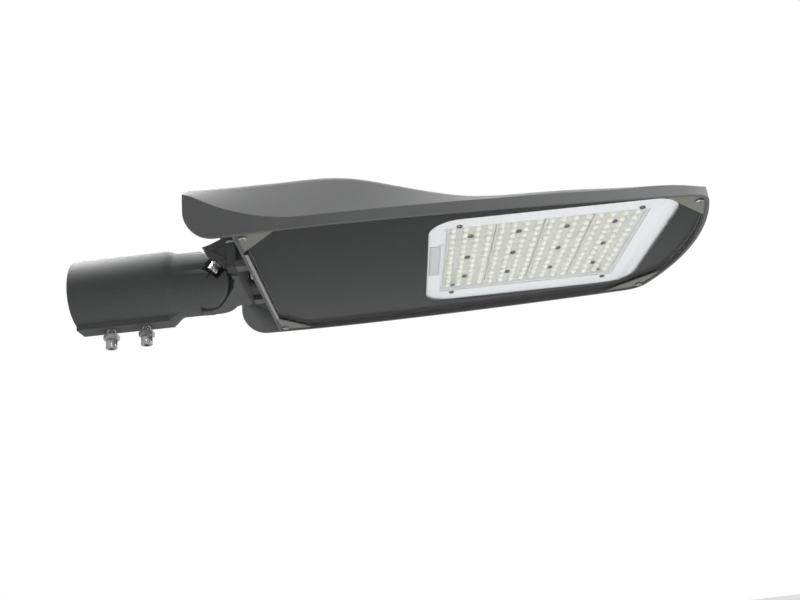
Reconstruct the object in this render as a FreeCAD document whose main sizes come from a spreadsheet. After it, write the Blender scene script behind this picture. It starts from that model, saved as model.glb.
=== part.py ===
"""Street light head with LED lens plates behind glass, on a tilting spigot for a 60 mm pole end.

Frame: origin at the centre of the pole socket's mouth, +X along the sleeve towards the tip, +Z up.
Lengths are in millimetres and angles in degrees.
"""

import FreeCAD, Part
import math
import os
import Sketcher

Vector = FreeCAD.Vector
Rotation = FreeCAD.Rotation
Placement = FreeCAD.Placement

doc = FreeCAD.newDocument("street_light_head")

# Driving dimensions. Each row is a word, its value and what it sizes.
DIMENSIONS = [
    ("pole_bore", 60.8, "diameter of the socket for a 60 mm pole end"),
    ("socket_depth", 76, "how far the pole enters"),
    ("sleeve_length", 88, "length of the thick part of the sleeve"),
    ("sleeve_diameter", 68, "outside diameter of the thick part"),
    ("neck_diameter", 62, "outside diameter of the neck"),
    ("neck_step", 9, "length of the chamfer between sleeve and neck"),
    ("neck_length", 55, "neck from the chamfer to the end of the barrel"),
    ("rib_width", 20, "width of the screw rib under the sleeve"),
    ("rib_drop", 38, "bottom of the screw rib below the axis"),
    ("passage_diameter", 18, "wire passage through the neck"),
    ("passage_angle", 58, "slope of the wire passage, from the vertical"),
    ("pivot_x", 127, "tilt axis behind the mouth"),
    ("pivot_drop", 9, "tilt axis below the sleeve's axis"),
    ("barrel_radius", 20, "round end of the neck that seats in the bracket"),
    ("seat_gap", 0.3, "running gap between barrel and bracket"),
    ("side_gap", 0.5, "gap beside the ears"),
    ("neck_under", -119, "lower end of the neck, as an angle about the tilt axis"),
    ("wedge_under", -112, "lower end of the bracket's wedge, as an angle"),
    ("ear_inside", 19.6, "inner radius of the slotted ears"),
    ("ear_outside", 25.5, "outer radius of the slotted ears"),
    ("ear_gap", 0.4, "gap between ear and bracket"),
    ("ear_near", 22.5, "inner face of an ear from the middle"),
    ("ear_width", 16, "width of an ear"),
    ("ear_start", 26, "lower end of an ear, as an angle"),
    ("ear_end", 77, "upper end of an ear inside, as an angle"),
    ("ear_end_outside", 88, "upper end of an ear outside, as an angle"),
    ("tilt_up", 10, "largest upward tilt"),
    ("tilt_down", 5, "largest downward tilt"),
    ("lock_angle", 50, "direction of the lock screws above the axis"),
    ("lock_diameter", 6, "thread of the lock screws"),
    ("lock_play", 0.6, "slot wider than the thread"),
    ("lock_head_diameter", 10, "head of the lock screws"),
    ("lock_head_length", 6, "height of that head"),
    ("lock_length", 17, "shank of the lock screws"),
    ("lock_depth", 9, "depth of a lock screw's hole, from inside the ear"),
    ("lock_seat", 18.4, "washer face from the tilt axis"),
    ("scallop_start", 7.5, "bottom of the room for a lock screw's head"),
    ("scallop_radius", 8, "radius of that room"),
    ("washer_diameter", 13, "flat washer under the lock screws"),
    ("washer_wall", 1.4, "thickness of one washer"),
    ("bracket_width", 77, "width of the bracket's body"),
    ("cheek_inside", 31.5, "inner face of the bracket's cheeks"),
    ("flange_x", 150, "front face of the bracket's flange"),
    ("flange_wall", 8, "thickness of the flange"),
    ("flange_width", 86, "width of the flange"),
    ("flange_bottom", 12, "lower edge of the flange below the axis"),
    ("flange_top", 27, "upper edge of the flange above the axis"),
    ("flange_corner", 7, "cut corners of the flange"),
    ("lip_x", 126.5, "tip of the bracket's upper lip"),
    ("lip_top", 20, "top of the lip's tip above the axis"),
    ("fix_diameter", 6, "thread of the bracket's fixing bolts"),
    ("fix_y", 31, "fixing bolts from the middle"),
    ("fix_low", 7.2, "lower fixing bolts above the axis"),
    ("fix_pitch", 14, "upper fixing bolts above the lower"),
    ("fix_length", 22.5, "shank of a fixing bolt behind the wall's front"),
    ("fix_hole_depth", 7, "fixing bolt's hole in the flange"),
    ("fix_head_diameter", 10, "head of a fixing bolt"),
    ("fix_head_length", 6, "height of that head"),
    ("clamp_diameter", 8, "thread of the clamp screws"),
    ("clamp_nut_flats", 13, "lock nut across flats"),
    ("clamp_nut_wall", 5, "height of a lock nut"),
    ("clamp_head_diameter", 10.5, "head of a clamp screw"),
    ("clamp_head_length", 8.5, "height of that head"),
    ("clamp_stand", 5, "bare thread between rib and lock nut"),
    ("clamp_first", 30.5, "first clamp screw from the mouth"),
    ("clamp_pitch", 33, "distance between the clamp screws"),
    ("key_flats", 5, "hexagon socket across flats"),
    ("hood_x", 131.5, "rear edge of the hood"),
    ("hood_corner", 27, "lower rear corner radius of the hood"),
    ("tip_x", 593, "front tip of the canopy"),
    ("tip_radius", 285, "plan radius of the tip"),
    ("tip_corner_x", 553, "where the side turns into the tip's corner"),
    ("tip_corner_y", 99, "where the corner meets the tip's arc"),
    ("rear_half_width", 125.5, "half width at the hood"),
    ("wide_half_width", 131, "half width at the widest place"),
    ("wide_x", 245, "where the canopy is widest"),
    ("front_half_width", 113.5, "half width where the side ends"),
    ("rim_drop", 14, "lower rim below the sleeve's axis"),
    ("band_drop", 4.6, "crease over the side band, below the axis"),
    ("sweep_rise", 34, "how far the crease climbs to the hood's corner"),
    ("sweep_start", 134, "where the crease reaches the hood's corner"),
    ("sweep_length", 96, "length over which the crease climbs"),
    ("hump_half_width", 100, "upper edge of the hump from the middle"),
    ("hump_edge", 46.5, "upper edge of the hump over the axis"),
    ("hump_crown", 11, "how far the hump rises to the middle"),
    ("hump_end", 246, "where the hump starts to fall"),
    ("deck_start", 404, "where the hump has become the deck"),
    ("deck_edge", 3, "edge of the deck over the axis"),
    ("deck_crown", 19, "how far the deck rises to the middle"),
    ("crown_end", 470, "where the deck's rise starts to fall towards the tip"),
    ("tip_edge", -2, "edge of the deck at the tip"),
    ("tip_crown", 3, "how far the tip rises to the middle"),
    ("deck_inset", 6, "edge of the deck inside the side band"),
    ("edge_rounding", 7, "softening of the hump's upper edge"),
    ("shell_wall", 3.2, "wall of the casting"),
    ("rim_wall", 3, "lower rim outside the glass"),
    ("bay_wall_x", 169, "rear face of the bay's rear wall"),
    ("bay_wall", 5, "thickness of the bay's rear wall"),
    ("wall_step", 2.5, "lower part of the rear wall cut back by this"),
    ("wall_step_drop", 5.5, "upper end of that cut below the axis"),
    ("pad_radius", 7.5, "round pads between rear wall and flange"),
    ("stop_y", 44, "side stops from the middle"),
    ("stop_width", 12, "width of a side stop"),
    ("stop_low", 8, "lower face of a side stop below the axis"),
    ("stop_height", 6, "height of a side stop"),
    ("partition_x", 326, "partition between driver bay and light bay"),
    ("partition_wall", 4, "thickness of the partition"),
    ("fin_wall", 3, "one cooling fin"),
    ("fin_count", 9, "cooling fins on the deck"),
    ("fin_pitch", 17, "distance between fins"),
    ("fin_rise", 8, "fins above the deck"),
    ("fin_start", 400, "rear end of the fins"),
    ("fin_end", 552, "front end of the fins"),
    ("channel_start", 404, "rear end of the channels between the fins"),
    ("channel_end", 548, "front end of those channels"),
    ("channel_floor", 7, "floor of those channels over the axis"),
    ("ledge_width", 11, "gasket seat inside the rim"),
    ("seat_drop", 5.2, "gasket seat below the axis"),
    ("glass_drop", 11.2, "outer face of the glass below the axis"),
    ("glass_wall", 4, "thickness of the glass"),
    ("glass_gap", 0.8, "gap around the glass"),
    ("glass_start", 177.6, "rear edge of the glass"),
    ("print_wall", 0.1, "printed border on the glass"),
    ("gasket_width", 7, "width of the gasket"),
    ("window_start", 334, "rear edge of the clear window"),
    ("window_end", 557, "front edge of the clear window"),
    ("window_width", 202, "width of the clear window"),
    ("window_corner", 28, "corners of the clear window"),
    ("rail_start", 174.2, "rear edge of the rail behind the glass"),
    ("rail_length", 172, "rail across the head"),
    ("clip_wall", 1.5, "sheet of the corner clips"),
    ("rear_clip_x", 40.7, "rear clips' blank along the rim"),
    ("rear_clip_y", 47.5, "rear clips' blank along the rear edge"),
    ("tip_clip_x", 83, "tip clips' long triangle along the head"),
    ("tip_clip_y", 78, "tip clips' long triangle across the head"),
    ("clip_overlap", 9, "clips over the glass"),
    ("clip_screw_diameter", 4, "thread of the clip screws"),
    ("clip_screw_length", 9, "shank of the clip screws"),
    ("clip_head_diameter", 7, "pan head of the clip screws"),
    ("clip_head_length", 2.4, "height of that head"),
    ("rear_screw_x", 179, "rear clip screws"),
    ("rear_screw_y", 118.5, "rear clip screws from the middle"),
    ("tip_screw_x", 567, "tip clip screws"),
    ("tip_screw_y", 98.5, "tip clip screws from the middle"),
    ("array_x", 441, "middle of the lens array"),
    ("lens_pitch_x", 11.1, "lenses along the head"),
    ("lens_pitch_y", 12.2, "lenses across the head"),
    ("lens_diameter", 9.4, "foot of one lens"),
    ("lens_tip_diameter", 5.2, "crown of one lens"),
    ("lens_rise", 3.2, "height of one lens"),
    ("plate_wall", 1.5, "base of a lens plate"),
    ("plate_gap", 0.6, "gap between lens plates"),
    ("board_face", 1.5, "lower face of the board over the axis"),
    ("board_wall", 1.6, "LED board"),
    ("board_length", 182, "LED board along the head"),
    ("board_width", 153, "LED board across the head"),
    ("chip_size", 3, "one LED"),
    ("chip_wall", 0.6, "height of one LED"),
    ("small_screw_diameter", 3, "thread of the lens and board screws"),
    ("small_screw_length", 7, "their shank"),
    ("small_head_diameter", 5.4, "their heads"),
    ("small_head_length", 1.6, "height of their heads"),
    ("frame_drop", 2.3, "upper face of the light frame below the axis"),
    ("frame_wall", 1.8, "sheet of the white light frame"),
    ("frame_start", 335, "rear edge of the light frame"),
    ("frame_end", 562, "front edge of the light frame"),
    ("frame_width", 206, "width of the light frame"),
    ("frame_gap", 1, "light frame clear of the board"),
    ("frame_slope", 16, "sloped face at the tip side of the light frame"),
    ("cover_length", 9, "cable cover along the head"),
    ("cover_width", 70, "cable cover across the head"),
    ("cover_shift", -6, "middle of the cable cover"),
    ("driver_x", 189.5, "rear end of the driver"),
    ("driver_length", 124, "driver"),
    ("driver_width", 62, "driver"),
    ("driver_height", 28, "driver"),
    ("driver_y", 52, "middle of the driver"),
    ("bay_roof", 26, "lower face of the bosses in the driver bay"),
    ("block_x", 190, "rear end of the terminal block"),
    ("block_y", -40, "middle of the terminal block"),
    ("block_length", 50, "terminal block"),
    ("block_width", 24, "terminal block"),
    ("block_height", 17, "terminal block"),
    ("surge_x", 252, "rear end of the surge protector"),
    ("surge_length", 54, "surge protector"),
    ("surge_width", 34, "surge protector"),
    ("surge_height", 22, "surge protector"),
    ("gland_diameter", 14, "thread of the cable gland"),
    ("gland_flats", 17, "cable gland across flats"),
    ("gland_z", 40, "cable gland over the axis"),
    ("gland_bore", 8, "wire hole of the gland"),
    ("vent_diameter", 12, "head of the vent plug"),
    ("vent_y", 60, "vent plug from the middle"),
    ("vent_z", 26, "vent plug over the axis"),
    ("earth_y", 14, "earth screw from the middle"),
    ("earth_drop", 2.7, "earth screw below the axis"),
    ("earth_depth", 4.5, "depth of the earth screw's hole"),
]

sheet = doc.addObject("Spreadsheet::Sheet", "Sizes")
for row, (word, value, note) in enumerate(DIMENSIONS, start=1):
    sheet.set(f"A{row}", word)
    sheet.set(f"B{row}", str(value))
    sheet.set(f"C{row}", note)
    sheet.setAlias(f"B{row}", word)
doc.recompute()


def size(word):
    """Value of a driving dimension."""
    return float(sheet.get(word))


def result(expression):
    """Value of an expression over the sheet, worked out in a spare cell."""
    sheet.set("E1", "=" + expression.replace("$", ""))
    sheet.recompute()
    value = float(sheet.get("E1"))
    sheet.clear("E1")
    return value


def bind(thing, **expressions):
    """Bind properties to expressions; a dollar sign stands for the sheet."""
    for name, expression in expressions.items():
        thing.setExpression(name, expression.replace("$", "Sizes."))
    return thing


def place(thing, x="0", y="0", z="0", rotation=None):
    """Bind a placement's base to expressions and set a fixed rotation."""
    if rotation is not None:
        thing.Placement = Placement(Vector(0, 0, 0), rotation)
    for axis, expression in zip("xyz", (x, y, z)):
        thing.setExpression(f"Placement.Base.{axis}", expression.replace("$", "Sizes."))
    return thing


ALONG_X = Rotation(Vector(0, 1, 0), 90)
ALONG_Y = Rotation(Vector(1, 0, 0), -90)
UPWARD = Rotation()
DOWNWARD = Rotation(Vector(1, 0, 0), 180)
UPRIGHT = Rotation(Vector(1, 0, 0), 90)


def box(name, length, width, height, x, y, z):
    """Box with its near lower rear corner at x, y, z."""
    thing = doc.addObject("Part::Box", name)
    bind(thing, Length=length, Width=width, Height=height)
    return place(thing, x, y, z)


def slab(name, length, width, height, x, z, y="0"):
    """Box from x and z, centred on y."""
    return box(name, length, width, height, x, f"{y} - ({width}) / 2", z)


def rod(name, radius, length, x="0", y="0", z="0", along=UPWARD):
    """Cylinder from x, y, z in the given direction."""
    thing = doc.addObject("Part::Cylinder", name)
    bind(thing, Radius=radius, Height=length)
    return place(thing, x, y, z, along)


def cone(name, radius, far_radius, length, x="0", y="0", z="0", along=UPWARD):
    """Truncated cone from x, y, z in the given direction."""
    thing = doc.addObject("Part::Cone", name)
    bind(thing, Radius1=radius, Radius2=far_radius, Height=length)
    return place(thing, x, y, z, along)


def hexagon(name, flats, length, x="0", y="0", z="0", along=UPWARD):
    """Hexagonal prism of the given width across flats."""
    thing = doc.addObject("Part::Prism", name)
    thing.Polygon = 6
    bind(thing, Circumradius=f"({flats}) / sqrt(3)", Height=length)
    return place(thing, x, y, z, along)


def fuse(name, *things):
    """Union of objects."""
    thing = doc.addObject("Part::MultiFuse", name)
    thing.Shapes = list(things)
    return thing


def cut(name, base, *tools):
    """Base less one or more tools."""
    thing = doc.addObject("Part::Cut", name)
    thing.Base = base
    thing.Tool = tools[0] if len(tools) == 1 else fuse(name + "_tools", *tools)
    return thing


def common(name, *things):
    """What all the objects share."""
    thing = doc.addObject("Part::MultiCommon", name)
    thing.Shapes = list(things)
    return thing


def group(name, *things):
    """Separate solids that share one node."""
    thing = doc.addObject("Part::Compound", name)
    thing.Links = list(things)
    return thing


def mirrored(name, thing):
    """The same solid on the other side of the XZ plane."""
    other = doc.addObject("Part::Mirroring", name)
    other.Source = thing
    other.Normal = Vector(0, 1, 0)
    return other


def outline(name, points, rotation=None, z="0"):
    """Closed sketch of straight lines with every corner bound to a pair of expressions."""
    sketch = doc.addObject("Sketcher::SketchObject", name)
    corners = [Vector(result(across), result(up), 0) for across, up in points]
    count = len(corners)
    for index, corner in enumerate(corners):
        sketch.addGeometry(Part.LineSegment(corner, corners[(index + 1) % count]), False)
    for index in range(count):
        sketch.addConstraint(Sketcher.Constraint("Coincident", index, 2, (index + 1) % count, 1))
    for index, point in enumerate(points):
        for axis, text, start in zip("XY", point, corners[index]):
            rule = Sketcher.Constraint(f"Distance{axis}", index, 1, start)
            number = sketch.addConstraint(rule)
            sketch.renameConstraint(number, f"corner{axis}{index}")
            sketch.setExpression(f"Constraints.corner{axis}{index}", text.replace("$", "Sizes."))
    return place(sketch, "0", "0", z, rotation or UPWARD)


def prism(name, sketch, length, symmetric=False):
    """Solid prism of a sketch along its normal."""
    thing = doc.addObject("Part::Extrusion", name)
    thing.Base = sketch
    thing.DirMode = "Normal"
    thing.Solid = True
    thing.Symmetric = symmetric
    return bind(thing, LengthFwd=length)


def side_prism(name, points, width, y="0"):
    """Prism of an outline in X and Z, centred on y."""
    sketch = outline(name + "_outline", points, UPRIGHT)
    sketch.setExpression("Placement.Base.y", y.replace("$", "Sizes."))
    return prism(name, sketch, width, symmetric=True)


def plan_prism(name, points, height, z):
    """Prism of an outline in X and Y, upward from z."""
    return prism(name, outline(name + "_outline", points, z=z), height)


def shape_feature(name, shape):
    """Feature whose shape is computed from the sheet, for forms that no primitive fits."""
    thing = doc.addObject("Part::Feature", name)
    thing.Shape = shape
    return thing


def polar(radius, angle):
    """Expressions of a point in the tilt plane, from the tilt axis."""
    across = f"$pivot_x + ({radius}) * cos({angle})"
    up = f"-$pivot_drop + ({radius}) * sin({angle})"
    return across, up


# Spigot sleeve with its neck, barrel and slotted ears.
sleeve_tube = rod("sleeve_tube", "$sleeve_diameter / 2", "$sleeve_length", along=ALONG_X)
neck_cone = cone("neck_cone", "$sleeve_diameter / 2", "$neck_diameter / 2", "$neck_step",
                 x="$sleeve_length", along=ALONG_X)
neck = rod("neck", "$neck_diameter / 2", "$neck_length",
           x="$sleeve_length + $neck_step", along=ALONG_X)
screw_rib = slab("screw_rib", "$sleeve_length - 1", "$rib_width", "$rib_drop - 26", "1", "-$rib_drop")
SHOULDER = "$pivot_x - $pivot_drop + $barrel_radius * sqrt(2)"
NECK_TOP = "$neck_diameter / 2 + 2"
neck_side = side_prism(
    "neck_side",
    [("$sleeve_length", f"-({NECK_TOP})"), ("$sleeve_length", NECK_TOP),
     (f"{SHOULDER} - ({NECK_TOP})", NECK_TOP), polar("$barrel_radius", "45"),
     ("$pivot_x", "-$pivot_drop"), polar("$barrel_radius", "$neck_under"),
     polar("$barrel_radius + 7", "$neck_under")],
    "$neck_diameter + 2")
barrel = rod("barrel", "$barrel_radius", "$neck_diameter + 2",
             "$pivot_x", "-$neck_diameter / 2 - 1", "-$pivot_drop", ALONG_Y)
neck_form = common("neck_form", fuse("neck_blank", neck_side, barrel), neck)


def turned(angle):
    """Rotation that points a cylinder along an angle about the tilt axis."""
    return Rotation(Vector(0, 1, 0), 90 - angle)


def radial_rod(name, radius, length, start, y, angle="$lock_angle"):
    """Cylinder pointing away from the tilt axis, from a distance off it."""
    x, z = polar(start, angle)
    return rod(name, radius, length, x, y, z, turned(result(angle)))


LOCK_Y = ("-$ear_near - $ear_width / 2", "$ear_near + $ear_width / 2")
SWINGS = (
    ("low", "$lock_angle - $tilt_down"),
    ("mid", "$lock_angle + ($tilt_up - $tilt_down) / 2"),
    ("high", "$lock_angle + $tilt_up"),
)


def ear(name, middle):
    """One slotted ear, an arc plate about the tilt axis that grows out of the neck."""
    outside = rod(name + "_outside", "$ear_outside", "$ear_width",
                  "$pivot_x", f"{middle} - $ear_width / 2", "-$pivot_drop", ALONG_Y)
    inside = rod(name + "_inside", "$ear_inside", "$ear_width + 2",
                 "$pivot_x", f"{middle} - $ear_width / 2 - 1", "-$pivot_drop", ALONG_Y)
    ring = cut(name + "_ring", outside, inside)
    fan = side_prism(
        name + "_fan",
        [polar("$ear_inside / 2", "$ear_start"), polar("$ear_outside + 10", "$ear_start"), polar("60", "60"),
         polar("$ear_outside", "$ear_end_outside"), polar("$ear_inside", "$ear_end")],
        "$ear_width", middle)
    plate = common(name + "_plate", ring, fan)
    half = "$lock_diameter / 2 + $lock_play / 2"
    slot_parts = [radial_rod(f"{name}_slot_{label}", half, "30", "$scallop_start", middle, angle)
                  for label, angle in SWINGS]
    slot_parts.append(side_prism(
        name + "_slot_sweep",
        [("$pivot_x", "-$pivot_drop"), polar("44", "$lock_angle - $tilt_down"),
         polar("44", "$lock_angle + $tilt_up")],
        "$lock_diameter + $lock_play", middle))
    scallops = [radial_rod(f"{name}_scallop_{label}", "$scallop_radius", "$ear_inside - $scallop_start",
                           "$scallop_start", middle, angle)
                for label, angle in SWINGS]
    return plate, slot_parts, scallops


near_ear, near_slot, near_scallops = ear("near_ear", LOCK_Y[0])
far_ear, far_slot, far_scallops = ear("far_ear", LOCK_Y[1])
socket_bore = rod("socket_bore", "$pole_bore / 2", "$socket_depth + 1", x="-1", along=ALONG_X)
passage = rod("passage", "$passage_diameter / 2", "$sleeve_length - 12", "$socket_depth - 10", "0", "-9",
              Rotation(Vector(0, 1, 0), size("passage_angle")))
clamp_holes = [
    rod(f"clamp_hole_{index}", "$clamp_diameter / 2", "20",
        f"$clamp_first + {index} * $clamp_pitch", "0", "-$rib_drop - 1")
    for index in range(2)
]
barrel_end = cut("barrel_end", neck_form, *near_scallops, *far_scallops)
sleeve_body = fuse("sleeve_body", sleeve_tube, neck_cone, screw_rib, barrel_end, near_ear, far_ear)
spigot_sleeve = cut("spigot_sleeve", sleeve_body, socket_bore, passage,
                    *clamp_holes, *near_slot, *far_slot)

# Clamp screws with their hexagon sockets, and the lock nuts.
clamp_screws = []
lock_nuts = []
CLAMP_NUT_Z = "-$rib_drop - $clamp_stand - $clamp_nut_wall"
for index in range(2):
    x = f"$clamp_first + {index} * $clamp_pitch"
    shank = rod(f"clamp_shank_{index}", "$clamp_diameter / 2",
                "$rib_drop - $pole_bore / 2 + $clamp_stand + $clamp_nut_wall",
                x, "0", CLAMP_NUT_Z)
    screw_head = rod(f"clamp_head_{index}", "$clamp_head_diameter / 2", "$clamp_head_length",
                     x, "0", CLAMP_NUT_Z + " - $clamp_head_length")
    key = hexagon(f"clamp_key_{index}", "$key_flats", "$clamp_head_length / 2",
                  x, "0", CLAMP_NUT_Z + " - $clamp_head_length")
    whole = fuse(f"clamp_whole_{index}", shank, screw_head)
    clamp_screws.append(cut(f"clamp_screw_{index}", whole, key))
    nut = hexagon(f"lock_nut_body_{index}", "$clamp_nut_flats", "$clamp_nut_wall", x, "0", CLAMP_NUT_Z)
    thread = rod(f"lock_nut_thread_{index}", "$clamp_diameter / 2", "$clamp_nut_wall + 2",
                 x, "0", CLAMP_NUT_Z + " - 1")
    lock_nuts.append(cut(f"lock_nut_{index}", nut, thread))

# Tilt bracket: flange, cheeks beside the ears, and a wedge that runs under the barrel.
HALF = "$flange_width / 2"
flange_sketch = outline(
    "flange_outline",
    [(f"{side} * ({HALF} - {inset_y})", up)
     for side, inset_y, up in (
         ("-1", "$flange_corner", "-$flange_bottom"), ("1", "$flange_corner", "-$flange_bottom"),
         ("1", "0", "-$flange_bottom + $flange_corner"), ("1", "0", "$flange_top - $flange_corner"),
         ("1", "$flange_corner", "$flange_top"), ("-1", "$flange_corner", "$flange_top"),
         ("-1", "0", "$flange_top - $flange_corner"), ("-1", "0", "-$flange_bottom + $flange_corner"))],
    Rotation(Vector(1, 1, 1), 120))
flange_sketch.setExpression("Placement.Base.x", "Sizes.flange_x")
flange = prism("flange", flange_sketch, "$flange_wall")
bracket_body = side_prism(
    "bracket_body",
    [("$flange_x", "-$flange_bottom"), ("$flange_x + $flange_wall", "-$flange_bottom"),
     ("$flange_x + $flange_wall", "$flange_top"), ("$flange_x - 5", "$flange_top"),
     ("$lip_x + 7", "$lip_top + 2"), ("$lip_x", "$lip_top"), polar("$barrel_radius", "33")],
    "$bracket_width")
wedge_side = side_prism(
    "wedge_side",
    [polar("$barrel_radius - 1", "$wedge_under"), polar("$barrel_radius + 4", "$wedge_under"),
     ("$pivot_x", "-$neck_diameter / 2 - 0.4"), polar("$barrel_radius + 2", "-64"),
     polar("$barrel_radius + 2", "-47"), polar("$barrel_radius + 3", "-30"), ("$flange_x + 1.5", "-17"),
     ("$flange_x + 5.5", "-$flange_bottom"), ("$flange_x + 5.5", "0"), ("$pivot_x", "0")],
    "$bracket_width")
WEDGE_EDGE = [("$pivot_x - 15", "5.5"), ("$pivot_x + 6", "5.5"), ("$flange_x - 10", "11.6"),
              ("$flange_x - 4", "16.8"), ("$flange_x + 0.8", "22.5"), ("$flange_x + 5.5", "33")]
wedge_plan = plan_prism(
    "wedge_plan",
    WEDGE_EDGE + [(x, f"-{y}") for x, y in reversed(WEDGE_EDGE)],
    "$neck_diameter", "-$neck_diameter / 2 - 5")
wedge = common("wedge", wedge_side, wedge_plan)
SEAT_RADIUS = "$barrel_radius + $seat_gap"
barrel_seat = rod("barrel_seat", SEAT_RADIUS, "$neck_diameter + 2",
                  "$pivot_x", "-$neck_diameter / 2 - 1", "-$pivot_drop", ALONG_Y)
shoulder_room = side_prism(
    "shoulder_room",
    [("$pivot_x", "-$pivot_drop"), polar(SEAT_RADIUS, "37"), ("$lip_x", "$flange_top + 1"),
     ("$lip_x - 20", "$flange_top + 1")],
    "2 * $cheek_inside")
ear_rooms = [
    rod(f"ear_room_{index}", "$ear_outside + $ear_gap", "$ear_width + 2 * $side_gap",
        "$pivot_x", f"{middle} - $ear_width / 2 - $side_gap", "-$pivot_drop", ALONG_Y)
    for index, middle in enumerate(LOCK_Y)
]
lock_holes = [
    radial_rod(f"lock_hole_{index}", "$lock_diameter / 2", "$lock_depth", "$ear_outside - 2", y)
    for index, y in enumerate(LOCK_Y)
]
FIX_SPOTS = [(side, level) for side in (-1, 1) for level in (0, 1)]


def fix_place(side, level):
    """Expressions of a fixing bolt's position across and up."""
    return f"{side} * $fix_y", f"$fix_low + {level} * $fix_pitch"


fix_holes = [
    rod(f"fix_hole_{index}", "$fix_diameter / 2", "$fix_hole_depth + 1",
        "$flange_x + $flange_wall - $fix_hole_depth", *fix_place(side, level), ALONG_X)
    for index, (side, level) in enumerate(FIX_SPOTS)
]
bracket_whole = fuse("bracket_whole", flange, bracket_body, wedge)
tilt_bracket = cut("tilt_bracket", bracket_whole, barrel_seat, shoulder_room, *ear_rooms,
                   *lock_holes, *fix_holes)

# Lock screws of the tilt, with spring washer and flat washer.
lock_screws = []
spring_washers = []
flat_washers = []
for index, y in enumerate(LOCK_Y):
    shank = radial_rod(f"lock_shank_{index}", "$lock_diameter / 2", "$lock_length",
                       "$lock_seat - 2 * $washer_wall - 1", y)
    screw_head = radial_rod(f"lock_head_{index}", "$lock_head_diameter / 2", "$lock_head_length",
                            "$lock_seat - 2 * $washer_wall - $lock_head_length", y)
    key_x, key_z = polar("$lock_seat - 2 * $washer_wall - $lock_head_length", "$lock_angle")
    key = hexagon(f"lock_key_{index}", "$key_flats", "$lock_head_length / 2", key_x, y, key_z,
                  turned(size("lock_angle")))
    whole = fuse(f"lock_whole_{index}", shank, screw_head)
    lock_screws.append(cut(f"lock_screw_{index}", whole, key))
    for label, step, radius, store in (("spring_washer", 2, "$washer_diameter / 2 - 1", spring_washers),
                                       ("flat_washer", 1, "$washer_diameter / 2", flat_washers)):
        start = f"$lock_seat - {step} * $washer_wall"
        disc = radial_rod(f"{label}_disc_{index}", radius, "$washer_wall", start, y)
        hole = radial_rod(f"{label}_hole_{index}", "$lock_diameter / 2 + 0.15", "$washer_wall + 2",
                          f"{start} - 1", y)
        store.append(cut(f"{label}_{index}", disc, hole))

# Fixing bolts: they come through the bay's rear wall into the bracket's flange.
fix_bolts = []
fix_washers = []
WALL_FRONT = "$bay_wall_x + $bay_wall"
for index, (side, level) in enumerate(FIX_SPOTS):
    y, z = fix_place(side, level)
    shank = rod(f"fix_shank_{index}", "$fix_diameter / 2", "$fix_length + $washer_wall",
                f"{WALL_FRONT} - $fix_length", y, z, ALONG_X)
    screw_head = hexagon(f"fix_head_{index}", "$fix_head_diameter", "$fix_head_length",
                         f"{WALL_FRONT} + $washer_wall", y, z, ALONG_X)
    fix_bolts.append(fuse(f"fix_bolt_{index}", shank, screw_head))
    disc = rod(f"fix_washer_disc_{index}", "$washer_diameter / 2", "$washer_wall", WALL_FRONT, y, z, ALONG_X)
    hole = rod(f"fix_washer_hole_{index}", "$fix_diameter / 2 + 0.15", "$washer_wall + 2",
               WALL_FRONT + " - 1", y, z, ALONG_X)
    fix_washers.append(cut(f"fix_washer_{index}", disc, hole))


def blend(low, high, position):
    """Smooth step from one value to another."""
    t = min(1.0, max(0.0, position))
    return low + (high - low) * t * t * (3 - 2 * t)


def half_width(x):
    """Half width of the canopy in plan."""
    wide_x = size("wide_x")
    if x < wide_x:
        share = ((wide_x - x) / (wide_x - size("hood_x"))) ** 2
        return size("wide_half_width") + (size("rear_half_width") - size("wide_half_width")) * share
    share = ((x - wide_x) / (size("tip_corner_x") - wide_x)) ** 1.8
    return size("wide_half_width") + (size("front_half_width") - size("wide_half_width")) * share


def crease_height(x):
    """Crease between the side band and the upper face, over the axis."""
    t = min(1.0, max(0.0, (x - size("sweep_start")) / size("sweep_length")))
    return -size("band_drop") + size("sweep_rise") * (1 - t) ** 2


def upper_edge(x):
    """Upper edge of the hump or the deck: distance from the middle and height."""
    fall = (x - size("hump_end")) / (size("deck_start") - size("hump_end"))
    end = (x - size("deck_start")) / (size("tip_x") - size("deck_start"))
    deck = size("deck_edge") + (size("tip_edge") - size("deck_edge")) * max(0.0, end)
    height = blend(size("hump_edge"), deck, fall)
    inset = half_width(x) - size("deck_inset")
    return blend(size("hump_half_width"), inset, fall - 0.25), height


def crown_rise(x):
    """How far the middle rises over the upper edge."""
    fall = (x - size("hump_end")) / (size("deck_start") - size("hump_end"))
    end = (x - size("crown_end")) / (size("tip_x") - size("crown_end"))
    rise = blend(size("hump_crown"), size("deck_crown"), fall)
    return rise + (size("tip_crown") - size("deck_crown")) * max(0.0, end) ** 1.5


SECTION_SHARES = (0.169, 0.214, 0.236, 0.261, 0.29, 0.324, 0.364, 0.415, 0.464, 0.514, 0.565,
                  0.624, 0.683, 0.759, 0.843, 0.927, 1.012)
SECTION_X = [size("tip_x") * share for share in SECTION_SHARES]
SIDE_REACH = size("wide_half_width") + 19
FLOOR = -size("wide_half_width")


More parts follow.
